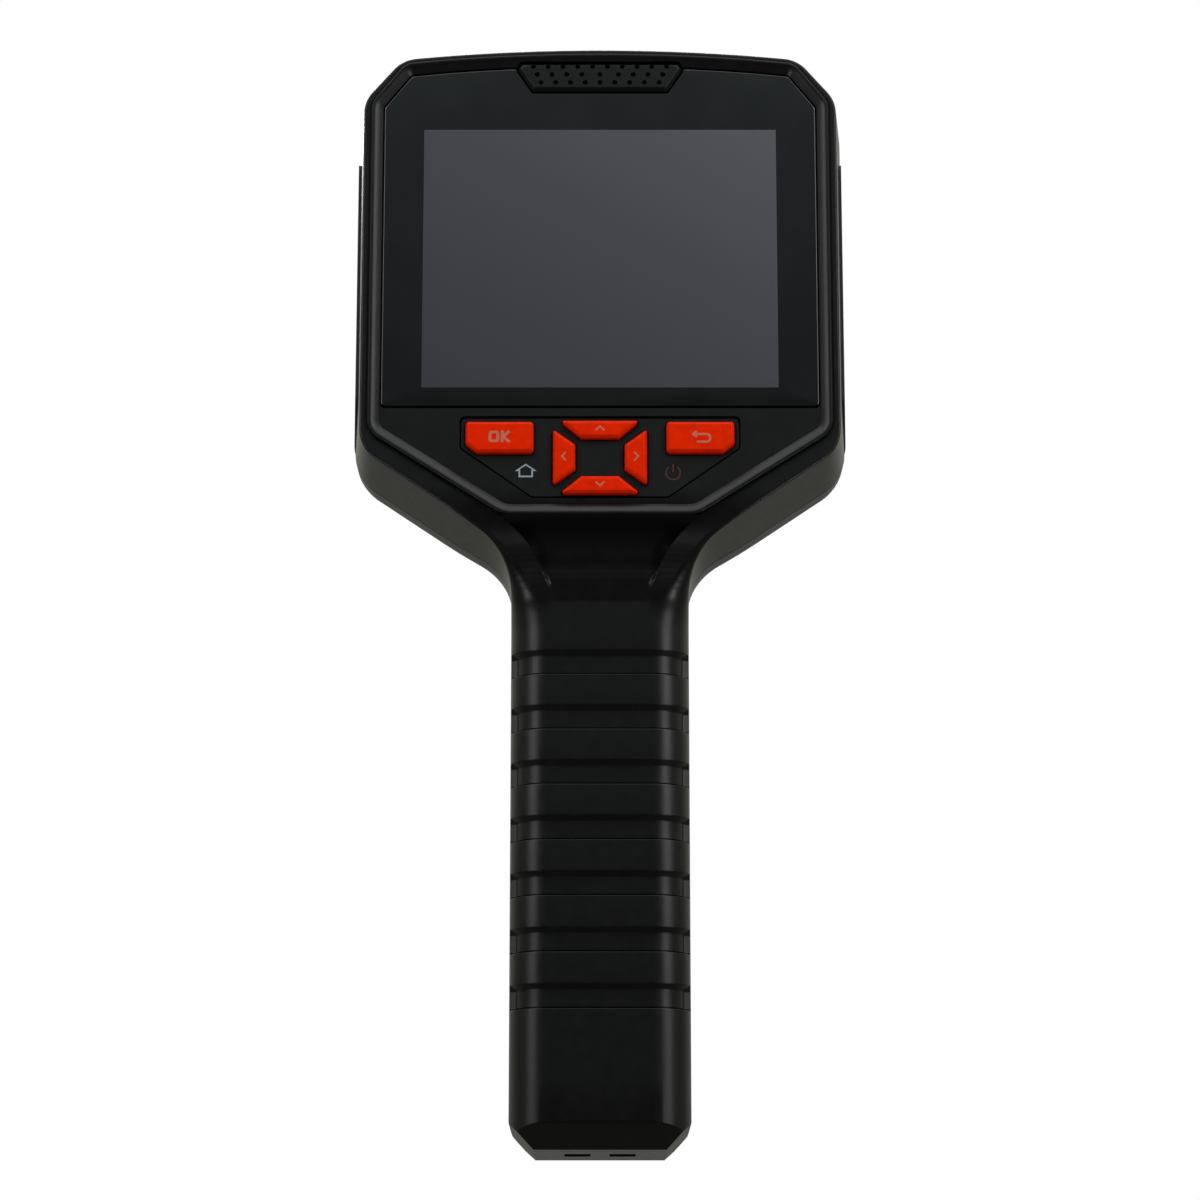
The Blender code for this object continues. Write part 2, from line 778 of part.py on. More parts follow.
def make_front_housing():
    shell = half_shell(
        "front_housing", 1, (PARTING_FRONT, flare), flare, front_level, front_edge,
        bowed=True, recess=front_recess, mat=SHELL,
    )
    trim_base(shell, 1)
    cavity = half_shell(
        "front_cavity", 1, (PARTING_FRONT - 1.0, flare), flare,
        inner_front_level, inner_front_edge, inset=WALL, bowed=True,
    )
    slice_off(cavity, (0, 0, CAVITY_FLOOR), (0, 0, -1))
    ears = [
        box(f"ear_{side}", (min(side * 7, side * 10), max(side * 7, side * 10)), (11.5, 25.0), (90.5, 99.6))
        for side in (-1, 1)
    ]
    cut(cavity, *screw_bosses("front", -20.0, 30.0), *ears)
    drilled = []
    for name, (x, z) in SCREWS.items():
        drilled.append(cylinder(f"front_shank_{name}", "Y", (x, -5.0, z), SHANK_HOLE, 12.0, sides=12))
        drilled.append(
            cylinder(f"front_well_{name}", "Y", (x, SCREW_SEAT + 16.0, z), WELL_RADIUS, 32.0, sides=16)
        )
    cut(shell, cavity, *drilled, *pad_recesses())
    cut(
        shell,
        prism("plate_pocket", offset(FRONT_PLATE, GAP), PLATE_REAR - GAP, 40.0),
        cylinder("barrel_hole", "Y", (0.0, 25.0, LENS_Z), BARREL_RADIUS + GAP, 20.0, sides=32),
        *[
            cylinder(f"eye_hole_{x:g}", "Y", (x, 22.0, EYE_Z), EYE_RADIUS - 0.8, 12.0)
            for x in (-EYE_X, EYE_X)
        ],
        box(
            "trigger_slot", (-TRIGGER_HALF - 0.4, TRIGGER_HALF + 0.4), (9.0, 40.0),
            (TRIGGER_Z[0] - TRIGGER_PLAY, TRIGGER_Z[1] + TRIGGER_PLAY),
        ),
        cylinder("pin_hole", "X", (0.0, PIVOT_Y, PIVOT_Z), PIN_RADIUS + GAP, 20.0, sides=12),
        box("strap_slot_left", (-STRAP_X[1], -STRAP_X[0]), STRAP_Y, (-1.0, 5.0)),
        box("strap_slot_right", STRAP_X, STRAP_Y, (-1.0, 5.0)),
        box("strap_way", (-STRAP_X[1], STRAP_X[1]), STRAP_Y, (3.4, 7.0)),
    )


# ---- the screen side ----------------------------------------------------------------------------
def make_display():
    window = prism(
        "display_window", mirrored(window_half(GAP)), FASCIA, POCKET - GAP, mat=GLASS, bevel=0.25
    )
    cut(window, prism("window_notch", offset(GRILLE, GAP), -30.0, -20.0))
    box("lcd_module", (-LCD_HALF, LCD_HALF), (POCKET, LCD_FRONT), LCD_Z, SCREEN, bevel=0.4)


def grille_holes():
    """Three staggered rows of sound holes; the two lower rows leave a space beside the middle one."""
    top_z, middle_z, low_z = HOLE_ROWS
    top = [(HOLE_PITCH * (i - 4.5), top_z) for i in range(10)]
    middle = [(side * (3.4 + HOLE_PITCH * i), middle_z) for side in (-1, 1) for i in range(4)]
    low = [(HOLE_PITCH * (i - 4), low_z) for i in range(9)]
    return top + middle + [(0.0, middle_z)] + low


def make_grille():
    grille = stack(
        "speaker_grille",
        [(GRILLE, -24.2), (GRILLE, -27.5), (offset(GRILLE, -0.45), -27.95)],
        mat=SHELL,
    )
    bm = bmesh.new()
    for x, z in grille_holes():
        place = Matrix.Translation((x * MM, -26.0 * MM, z * MM)) @ TURN["Y"]
        bmesh.ops.create_cone(
            bm, cap_ends=True, segments=6, radius1=HOLE_RADIUS * MM, radius2=HOLE_RADIUS * MM,
            depth=6 * MM, matrix=place,
        )
    mesh = bpy.data.meshes.new("sound_holes")
    bm.to_mesh(mesh)
    bm.free()
    cut(grille, add_object("sound_holes", mesh))
    box("speaker", (-10.0, 10.0), (-23.3, -19.0), (189.0, 198.0), INSERT, bevel=0.8)


def make_keys():
    plate = prism("keypad_plate", offset(KEYPAD, -GAP), KEY_PLATE_FACE, POCKET - GAP, mat=INSERT)
    for name, (outline, middle) in KEYS.items():
        cut(plate, prism(f"plate_hole_{name}", offset(outline, GAP), -30.0, -20.0))
        key = stack(
            f"key_{name}",
            [
                (offset(outline, KEY_FLANGE), KEY_FOOT),
                (offset(outline, KEY_FLANGE), KEY_FOOT - 1.0),
                (outline, KEY_FOOT - 1.0 - 1e-3),
                (outline, KEY_SHOULDER),
                (offset(outline, -0.5), KEY_TOP),
            ],
            mat=ORANGE,
        )
        origin_to(key, (middle[0], KEY_TOP, middle[1]))
        x, z = middle
        body = KEY_FOOT + KEY_TRAVEL + 0.3
        switch = box(
            f"switch_{name}", (x - 1.6, x + 1.6), (body + 0.5, body + 1.3), (z - 1.4, z + 1.4), INSERT
        )
        join(switch, cylinder(f"plunger_{name}", "Y", (x, body + 0.5, z), 0.8, 1.0, sides=12))
    board = offset(KEYPAD, -0.4)
    prism("keypad_board", board, KEYPAD_BOARD, KEYPAD_BOARD + 1.0, mat=BOARD)


# ---- electronics --------------------------------------------------------------------------------
def make_boards():
    edge = [(-37.0, 186.0), (-37.0, 138.0), (-28.0, 131.5), (28.0, 131.5), (37.0, 138.0), (37.0, 186.0)]
    prism("main_board", edge, BOARD_REAR, BOARD_FRONT, mat=BOARD)
    front = BOARD_FRONT + GAP
    box("shield_can", (-30.0, -6.0), (front, front + 2.6), (146.0, 176.0), STEEL, bevel=0.4)
    box("battery_connector", (-4.5, 4.5), (front, front + 3.4), (132.4, 137.0), INSERT, bevel=0.3)
    usb = box("usb_socket", (33.0, 42.2), (front, front + 3.2), (155.4, 164.6), STEEL, bevel=0.8)
    cut(usb, box("usb_mouth", (36.0, 44.0), (front + 0.5, front + 2.7), (156.0, 164.0)))
    slot = box("card_socket", (30.0, 41.8), (front, front + 2.8), (135.4, 150.6), STEEL)
    cut(slot, box("card_mouth", (28.6, 46.0), (CARD_FACE - GAP, CARD_FACE + 1.0 + GAP), (137.2, 148.8)))
    box("memory_card", (29.0, 43.2), (CARD_FACE, CARD_FACE + 1.0), (137.6, 148.4), INSERT)


def make_battery():
    x = 11.4
    length = (BATTERY_LOW - 1.8, BATTERY_HIGH + 1.8)
    cradle = box("battery_cradle", (-x, x), (-14.4, -3.2), length, INSERT, bevel=0.6)
    middle = (0.0, BATTERY_Y, (BATTERY_LOW + BATTERY_HIGH) / 2)
    span = BATTERY_HIGH - BATTERY_LOW
    cut(cradle, cylinder("cell_room", "Z", middle, BATTERY_RADIUS + GAP, span + 2 * GAP, sides=32))
    cell = cylinder("battery_cell", "Z", middle, BATTERY_RADIUS, span, CELL, sides=32)
    add_bevel(cell, 0.6)
    for name, side, mat in (("red_lead", 1, RED_WIRE), ("black_lead", -1, BLACK_WIRE)):
        route = [
            (side * 3.0, BATTERY_Y, BATTERY_HIGH + GAP),
            (side * 3.0, BATTERY_Y, 93.0),
            (side * 2.6, -5.0, 103.0),
            (side * 2.2, -11.5, 113.0),
            (side * 2.0, -13.2, 122.0),
            (side * 2.0, -13.2, 132.4 - GAP),
        ]
        wire(name, route, 0.8, mat)


# ---- optics -------------------------------------------------------------------------------------
def make_optics():
    plate = stack(
        "front_plate",
        [
            (FRONT_PLATE, PLATE_REAR),
            (FRONT_PLATE, PLATE_FACE - 0.6),
            (offset(FRONT_PLATE, -0.6), PLATE_FACE),
        ],
        INSERT,
    )
    cut(
        plate,
        cylinder("plate_bore", "Y", (0.0, 25.0, LENS_Z), BARREL_RADIUS + GAP, 20.0, sides=32),
        *[
            cylinder(f"plate_eye_{x:g}", "Y", (x, 25.0, EYE_Z), EYE_RADIUS + GAP, 20.0)
            for x in (-EYE_X, EYE_X)
        ],
    )
    centre = (0.0, 0.0, LENS_Z)
    turned(
        "lens_barrel", "Y", centre,
        [
            (18.0, LENS_MOUTH), (19.0, LENS_MOUTH - 0.6), (19.0, 50.0), (20.0, 49.0),
            (BARREL_RADIUS, 47.5), (BARREL_RADIUS, 22.1), (23.0, 22.1), (23.0, 20.0),
            (12.0, 20.0), (12.0, 40.0), (15.8, 40.0), (15.8, 52.0), (17.0, LENS_MOUTH - 0.6),
        ],
        SHELL, sides=32,
    )
    turned(
        "lens_bumper", "Y", centre,
        [(19.8, 60.8), (20.6, 60.8), (21.2, 60.0), (21.2, 51.6), (20.6, 50.8), (19.3, 50.8), (19.3, 60.2)],
        RUBBER, sides=32,
    )
    turned(
        "germanium_lens", "Y", centre,
        [(0.0, 47.0), (5.0, 46.7), (10.0, 45.7), (15.4, 43.8), (15.4, 40.3), (0.0, 40.3)],
        GERMANIUM, sides=32,
    )
    turned(
        "lens_ring", "Y", centre,
        [(13.6, 46.6), (15.4, 46.6), (15.4, 45.0), (13.6, 45.4)],
        ALUMINIUM, sides=32,
    )
    box("thermal_core", (-14.0, 14.0), (-9.0, 12.0), (LENS_Z - 14.0, LENS_Z + 14.0), ALUMINIUM, bevel=0.8)
    frame = box("shutter_frame", (-15.0, 24.0), (12.3, 13.3), (142.0, 178.0), INSERT)
    px, pz = SHUTTER_PIVOT
    shaft_hole = cylinder("shaft_hole", "Y", (px, 13.0, pz), 1.0, 6.0, sides=12)
    cut(frame, cylinder("aperture", "Y", (0.0, 13.0, LENS_Z), 6.0, 6.0), shaft_hole)
    make_shutter_blade(px, pz, shaft_hole)
    motor = cylinder("shutter_motor", "Y", (px, 8.9, pz), 3.0, 6.2, STEEL)
    join(motor, cylinder("motor_shaft", "Y", (px, 12.4, pz), 0.7, 4.2, sides=12))


def make_shutter_blade(px, pz, shaft_hole):
    """A disc on an arm, parked beside the aperture and swung over it by the motor."""
    reach = math.hypot(px, LENS_Z - pz)
    closed = math.atan2(LENS_Z - pz, -px)
    parked = closed - math.radians(SHUTTER_SWING)
    disc_x, disc_z = px + reach * math.cos(parked), pz + reach * math.sin(parked)
    blade = cylinder("shutter_blade", "Y", (disc_x, 13.9, disc_z), 7.0, 0.5, STEEL)
    arm = box("blade_arm", (-1.8, reach), (-0.25, 0.25), (-1.8, 1.8))
    arm.matrix_world = Matrix.Translation(Vector((px, 13.9, pz)) * MM) @ Matrix.Rotation(-parked, 4, "Y")
    join(blade, arm)
    cut(blade, shaft_hole)
    origin_to(blade, (px, 13.9, pz))


def make_eyes():
    """The visible camera and the lamp, side by side above the main lens."""
    for name, x, mat in (("camera_window", -EYE_X, CLEAR), ("lamp_lens", EYE_X, CLEAR)):
        disc = cylinder(name, "Y", (x, (PLATE_REAR + PLATE_FACE) / 2, EYE_Z), EYE_RADIUS, 2.0, mat)
        add_bevel(disc, 0.3)
    camera = box(
        "camera_module", (-EYE_X - 4, -EYE_X + 4), (10.0, 16.0), (EYE_Z - 4, EYE_Z + 4), INSERT, bevel=0.3
    )
    join(camera, cylinder("camera_tube", "Y", (-EYE_X, 19.0, EYE_Z), 2.8, 8.0, sides=16))
    lamp = box("lamp_board", (EYE_X - 4, EYE_X + 4), (14.0, 15.4), (EYE_Z - 4, EYE_Z + 4), BOARD)
    join(lamp, cylinder("lamp_chip", "Y", (EYE_X, 17.0, EYE_Z), 1.8, 4.6, sides=16))


# ---- trigger ------------------------------------------------------------------------------------
def make_trigger():
    low, top = TRIGGER_Z
    profile = rounded(
        [
            (16.5, top, 0.0), (17.6, top, 1.5), (20.6, 91.0, 6.0), (25.6, 84.0, 6.0), (26.4, 76.0, 3.0),
            (24.6, low, 1.5), (19.6, low, 1.5), (15.6, 84.0, 4.0), (12.4, 91.0, 3.0), (12.4, top, 2.0),
            (16.5, top, 0.0),
        ],
        steps=3,
    )[:-1]
    trigger = prism("trigger", profile, -TRIGGER_HALF, TRIGGER_HALF, "X", SHELL, bevel=0.8)
    pivot = (0.0, PIVOT_Y, PIVOT_Z)
    cut(
        trigger,
        cylinder("trigger_bore", "X", pivot, PIN_RADIUS + GAP, 20.0, sides=12),
        cylinder("spring_room", "X", (4.7, PIVOT_Y, PIVOT_Z), 3.4, 4.6, sides=16),
    )
    origin_to(trigger, pivot)
    cylinder("trigger_pin", "X", pivot, PIN_RADIUS, 19.0, STEEL, sides=16)
    turns, per_turn, radius = 3, 10, 2.1
    coil = []
    for i in range(turns * per_turn + 1):
        angle = 2 * math.pi * i / per_turn
        coil.append(
            (3.2 + 2.4 * i / (turns * per_turn),
             PIVOT_Y + radius * math.cos(angle),
             PIVOT_Z + radius * math.sin(angle))
        )
    wire("trigger_spring", coil, 0.3, STEEL)
    box("trigger_switch", (-3.2, 3.2), (7.9, 12.4), (79.0, 87.0), INSERT, bevel=0.4)


# ---- side pads and fasteners ----------------------------------------------------------------------
def make_pads():
    taper = [(42.0, -20.0), (44.9, -20.0), (PAD_X[1], -10.0), (PAD_X[1], 2.0), (42.0, 2.0)]
    for name, side in (("port_cover", 1), ("side_pad_left", -1)):
        low, high = sorted((side * PAD_X[0], side * (PAD_X[1] + 1)))
        pad = prism(name, PAD_PROFILE, low, high, "X", RUBBER)
        slope = [(side * x, y) for x, y in taper]
        boolean(pad, "INTERSECT", [prism(f"{name}_slope", slope, 120.0, 190.0, "Z")])
        add_bevel(pad, 0.4)
        if side > 0:
            origin_to(pad, (COVER_HINGE_X, COVER_HINGE_Y, 155.3))


def make_screws():
    head, shank = SCREW_HEAD_RADIUS, SCREW_SHANK_RADIUS
    profile = [
        (0.0, SCREW_HEAD_HEIGHT), (head - 0.6, SCREW_HEAD_HEIGHT - 0.1), (head, 1.2), (head, 0.0),
        (shank, 0.0), (shank, 0.8 - SCREW_LENGTH), (shank - 0.5, -SCREW_LENGTH), (0.0, -SCREW_LENGTH),
    ]
    for name, (x, z) in SCREWS.items():
        screw = turned(f"screw_{name}", "Y", (x, SCREW_SEAT + GAP, z), profile, STEEL, sides=16)
        floor = SCREW_SEAT + GAP + SCREW_HEAD_HEIGHT - HEX_DEPTH
        middle = (x, floor + HEX_DEPTH, z)
        cut(screw, cylinder(f"socket_{name}", "Y", middle, HEX_RADIUS, 2 * HEX_DEPTH, sides=6))


make_rear_housing()
make_front_housing()
make_display()
make_grille()
make_keys()
make_boards()
make_battery()
make_optics()
make_eyes()
make_trigger()
make_pads()
make_screws()
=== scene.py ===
"""Looks of the handheld thermal imaging camera: fine shells, keys, glass, optics and their materials.

Lengths below are millimetres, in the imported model's own frame: +Z runs up the grip, +Y is the
way the lens looks, and the origin is the middle of the grip's flat base.
"""

import math

import bmesh
import bpy
from mathutils import Matrix, Vector


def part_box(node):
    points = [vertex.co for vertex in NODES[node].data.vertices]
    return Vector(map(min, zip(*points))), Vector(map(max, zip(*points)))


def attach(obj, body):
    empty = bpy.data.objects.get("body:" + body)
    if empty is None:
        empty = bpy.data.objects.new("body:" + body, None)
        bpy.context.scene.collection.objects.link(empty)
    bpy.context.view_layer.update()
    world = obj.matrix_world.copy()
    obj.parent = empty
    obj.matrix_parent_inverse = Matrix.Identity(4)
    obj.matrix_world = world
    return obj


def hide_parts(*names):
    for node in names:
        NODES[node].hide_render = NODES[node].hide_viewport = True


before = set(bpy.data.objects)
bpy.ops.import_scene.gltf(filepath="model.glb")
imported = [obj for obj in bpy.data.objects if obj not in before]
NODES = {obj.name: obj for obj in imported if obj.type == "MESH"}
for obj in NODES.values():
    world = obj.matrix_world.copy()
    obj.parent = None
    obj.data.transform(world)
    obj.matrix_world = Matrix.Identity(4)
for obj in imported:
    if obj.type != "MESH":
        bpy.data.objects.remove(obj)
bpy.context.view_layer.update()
MM = 0.001


def limits(node):
    """X, Y and Z limits of a CAD node in millimetres."""
    low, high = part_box(node)
    return [(a / MM, b / MM) for a, b in zip(low, high)]


# ---- sizes taken from the frame ---------------------------------------------------------------
REAR_X, REAR_Y, REAR_Z = limits("rear_housing")
FRONT_Y = limits("front_housing")[1]
_, WINDOW_Y, WINDOW_Z = limits("display_window")
GRILLE_X, GRILLE_Y, GRILLE_Z = limits("speaker_grille")
PLATE_Y = limits("front_plate")[1]
KEY_PLATE_Y = limits("keypad_plate")[1]
_, BARREL_Y, BARREL_Z = limits("lens_barrel")
BUMPER_X, BUMPER_Y = limits("lens_bumper")[:2]
PAD_X, PAD_Y, PAD_Z = limits("port_cover")
EYE_LIMITS = limits("lamp_lens")

GAP = 0.3  # between neighbouring pieces
WALL = 2.2
HEAD_FLARE = 1.8  # how far the head swells towards the parting plane
WIDEST_FRONT = -4.0  # the lens side keeps its full width up to here
NARROWING = 0.13  # share by which the head draws in from there to its front edge
NARROW_CENTRE = 175.0  # height the head draws in towards
BOW = 1.4  # power that makes the drawing in start gently
BOW_STEPS = 14
BOW_END = math.radians(30.0)  # slope at which the drawn-in side meets the front edge
HEAD_HALF = REAR_X[1] - HEAD_FLARE
HEAD_TOP = REAR_Z[1] - HEAD_FLARE
PARTING_REAR, PARTING_FRONT = REAR_Y[1], FRONT_Y[0]
CREST = REAR_Y[0]  # top of the rim around the screen
FASCIA = WINDOW_Y[0]
SHOULDER = FASCIA + 0.1  # flat band outside the rim
POCKET = WINDOW_Y[1] + GAP
HEAD_FRONT = FRONT_Y[1]
GRIP_HALF = 16.2
GRIP_REAR, GRIP_FRONT = -19.0, 19.0
GRIP_BLANK = -14.0  # the grip runs on to here before the base plane cuts it
CAVITY_FLOOR = 10.0
LENS_Z = (BARREL_Z[0] + BARREL_Z[1]) / 2
LENS_MOUTH = BARREL_Y[1]
BARREL_RADIUS = 20.0
EYE_X = (EYE_LIMITS[0][0] + EYE_LIMITS[0][1]) / 2
EYE_Z = (EYE_LIMITS[2][0] + EYE_LIMITS[2][1]) / 2
EYE_RADIUS = (EYE_LIMITS[0][1] - EYE_LIMITS[0][0]) / 2

RIB_COUNT, RIB_TOP, RIB_PITCH = 7, 89.0, 10.05
RIB_SLOPE, RIB_BAND, RIB_DEPTH = 1.0, 4.45, 0.9
RIB_END_SHARE = 0.17  # share of the turn round the grip's edge where a recessed band starts
RIB_END_RUN = 0.04  # half the share its sloping end takes
EDGE_STEPS = 14


# ---- mesh helpers --------------------------------------------------------------------------------
def add_object(name, mesh, mat=None):
    obj = bpy.data.objects.new(name, mesh)
    bpy.context.scene.collection.objects.link(obj)
    if mat:
        mesh.materials.append(mat)
    return obj


def shade(obj, angle=30.0):
    obj.data.shade_smooth()
    obj.data.set_sharp_from_angle(angle=math.radians(angle))
    return obj


def finish_mesh(name, bm, mat=None):
    bmesh.ops.recalc_face_normals(bm, faces=bm.faces)
    mesh = bpy.data.meshes.new(name)
    bm.to_mesh(mesh)
    bm.free()
    mesh.transform(Matrix.Scale(MM, 4))
    return shade(add_object(name, mesh, mat))


def bake(obj):
    """Makes the object's modifiers part of its mesh."""
    graph = bpy.context.evaluated_depsgraph_get()
    mesh = bpy.data.meshes.new_from_object(obj.evaluated_get(graph))
    old = obj.data
    obj.modifiers.clear()
    obj.data = mesh
    bpy.data.meshes.remove(old)
    return shade(obj)


def boolean(obj, operation, tools):
    """Adds or takes away every tool in one step, and removes the tools."""
    group = bpy.data.collections.new("tools")
    bpy.context.scene.collection.children.link(group)
    for tool in tools:
        group.objects.link(tool)
    step = obj.modifiers.new("boolean", "BOOLEAN")
    step.operation = operation
    step.solver = "EXACT"
    step.operand_type = "COLLECTION"
    step.collection = group
    bake(obj)
    for tool in tools:
        bpy.data.objects.remove(tool)
    bpy.data.collections.remove(group)
    return obj


def cut(obj, *tools):
    return boolean(obj, "DIFFERENCE", tools)


def join(obj, *tools):
    return boolean(obj, "UNION", tools)


def weigh(obj):
    """Keeps flat faces flat to the eye where they meet small round ones."""
    weighted = obj.modifiers.new("normals", "WEIGHTED_NORMAL")
    weighted.keep_sharp = True
    return obj


def box(name, x, y, z, mat=None):
    bm = bmesh.new()
    bmesh.ops.create_cube(bm, size=1.0)
    size = Vector((x[1] - x[0], y[1] - y[0], z[1] - z[0]))
    middle = Vector((x[0] + x[1], y[0] + y[1], z[0] + z[1])) / 2
    bmesh.ops.scale(bm, vec=size, verts=bm.verts)
    bmesh.ops.translate(bm, vec=middle, verts=bm.verts)
    return finish_mesh(name, bm, mat)


TURN = {
    "X": Matrix.Rotation(math.pi / 2, 4, "Y"),
    "Y": Matrix.Rotation(-math.pi / 2, 4, "X"),
    "Z": Matrix.Identity(4),
}


def cylinder(name, axis, centre, radius, length, mat=None, sides=48):
    bm = bmesh.new()
    bmesh.ops.create_cone(
        bm, cap_ends=True, segments=sides, radius1=radius, radius2=radius, depth=length
    )
    bmesh.ops.transform(bm, matrix=Matrix.Translation(centre) @ TURN[axis], verts=bm.verts)
    return finish_mesh(name, bm, mat)


def turned(name, axis, centre, profile, mat=None, sides=128, teeth=None):
    """A closed profile of (radius, height) points turned about an axis.

    teeth is a function of (angle, radius, height) that gives the radius to use there.
    """
    bm = bmesh.new()
    loops = []
    for radius, height in profile:
        loop = []
        for k in range(sides if radius > 0 else 1):
            angle = 2 * math.pi * k / sides
            r = teeth(angle, radius, height) if teeth else radius
            loop.append(bm.verts.new((r * math.cos(angle), r * math.sin(angle), height)))
        loops.append(loop)
    closed = all(radius > 0 for radius, _ in profile)
    following = loops[1:] + ([loops[0]] if closed else [])
    for lower, upper in zip(loops, following):
        for k in range(sides):
            j = (k + 1) % sides
            corners = [lower[k % len(lower)], lower[j % len(lower)]]
            corners += [upper[j % len(upper)], upper[k % len(upper)]]
            bm.faces.new(list(dict.fromkeys(corners)))
    place = Matrix.Translation(centre) @ TURN[axis]
    bmesh.ops.transform(bm, matrix=place, verts=bm.verts)
    return finish_mesh(name, bm, mat)


def bridge(bm, loops):
    """Walls of quads between each loop of points and the next."""
    for lower, upper in zip(loops, loops[1:]):
        for i in range(len(lower)):
            j = (i + 1) % len(lower)
            bm.faces.new((lower[i], lower[j], upper[j], upper[i]))


def stack(name, rings, mat=None, axis="Y"):
    """A closed solid through rings of equal count, each a flat outline at its own height."""
    bm = bmesh.new()
    loops = []
    for outline, height in rings:
        places = {
            "X": lambda u, v: (height, u, v),
            "Y": lambda u, v: (u, height, v),
            "Z": lambda u, v: (u, v, height),
        }
        loops.append([bm.verts.new(places[axis](u, v)) for u, v in outline])
    bm.faces.new(loops[0])
    bm.faces.new(loops[-1])
    bridge(bm, loops)
    return finish_mesh(name, bm, mat)


def prism(name, outline, low, high, axis="Y", mat=None):
    return stack(name, [(outline, low), (outline, high)], mat, axis)


def ring_band(name, outline, profile, mat=None):
    """A closed band that follows an outline; profile lists (distance outwards, Y) corners."""
    bm = bmesh.new()
    loops = [
        [bm.verts.new((u, y, v)) for u, v in offset(outline, distance)]
        for distance, y in profile
    ]
    bridge(bm, loops + loops[:1])
    return finish_mesh(name, bm, mat)


def round_over(width, height, low, facing=-1, steps=4):
    """(offset, height) pairs of a quarter-round edge that starts at low."""
    pairs = []
    for k in range(steps + 1):
        angle = math.pi / 2 * k / steps
        pairs.append((-width * (1 - math.cos(angle)), low + facing * height * math.sin(angle)))
    return pairs


def rounded(corners, steps=8):
    """Chain of (u, v, radius) corners, each corner replaced by its arc."""
    points = []
    last = len(corners) - 1
    for i, (u, v, radius) in enumerate(corners):
        here = Vector((u, v))
        if radius == 0 or i in (0, last):
            points.append((u, v))
            continue
        back = (Vector(corners[i - 1][:2]) - here).normalized()
        ahead = (Vector(corners[i + 1][:2]) - here).normalized()
        half = back.angle(ahead) / 2
        reach = radius / math.tan(half)
        centre = here + (back + ahead).normalized() * (radius / math.sin(half))
        start = here + back * reach - centre
        turn = start.angle_signed(here + ahead * reach - centre)
        for k in range(steps + 1):
            arm = start.copy()
            arm.rotate(Matrix.Rotation(-turn * k / steps, 2))
            points.append(tuple(centre + arm))
    return points


def mirrored(half):
    """A closed outline from its right half, which runs from the top down."""
    return half + [(-u, v) for u, v in reversed(half)]


def offset(outline, distance):
    """A closed outline moved outwards by a distance, corner by corner."""
    area = sum(
        a[0] * b[1] - b[0] * a[1] for a, b in zip(outline, outline[1:] + outline[:1])
    )
    out = 1.0 if area > 0 else -1.0
    moved = []
    for i, point in enumerate(outline):
        here = Vector(point)
        before = (here - Vector(outline[i - 1])).normalized()
        after = (Vector(outline[(i + 1) % len(outline)]) - here).normalized()
        normals = [Vector((d.y, -d.x)) * out for d in (before, after)]
        middle = (normals[0] + normals[1]).normalized()
        moved.append(tuple(here + middle * (distance / middle.dot(normals[0]))))
    return moved


def smooth_step(value, low, high):
    t = min(1.0, max(0.0, (value - low) / (high - low)))
    return t * t * (3 - 2 * t)


def through(points, value):
    """Straight-line value between (position, value) pairs that rise in position."""
    if value <= points[0][0]:
        return points[0][1]
    for (a, low), (b, high) in zip(points, points[1:]):
        if value <= b:
            return low + (high - low) * (value - a) / (b - a)
    return points[-1][1]


def flowing(points, value, start=0.0):
    """The same, along a smooth curve; start is its slope at the first point."""
    if value <= points[0][0] or value >= points[-1][0]:
        return through(points, value)
    slopes = [(b[1] - a[1]) / (b[0] - a[0]) for a, b in zip(points, points[1:])]
    ends = [start] + [(p + q) / 2 for p, q in zip(slopes, slopes[1:])] + [0.0]
    for i, ((a, low), (b, high)) in enumerate(zip(points, points[1:])):
        if value <= b:
            run = b - a
            t = (value - a) / run
            rise = low * (2 * t**3 - 3 * t**2 + 1) + high * (3 * t**2 - 2 * t**3)
            bend = ends[i] * (t**3 - 2 * t**2 + t) + ends[i + 1] * (t**3 - t**2)
            return rise + bend * run


def piece(obj, body, *nodes, slot=None):
    """Hands a piece to the frame: the body it rides on and the nodes it stands for; slot, its finish, is not
    used.
    """
    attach(obj, body)
    if nodes:
        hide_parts(*nodes)
    return obj


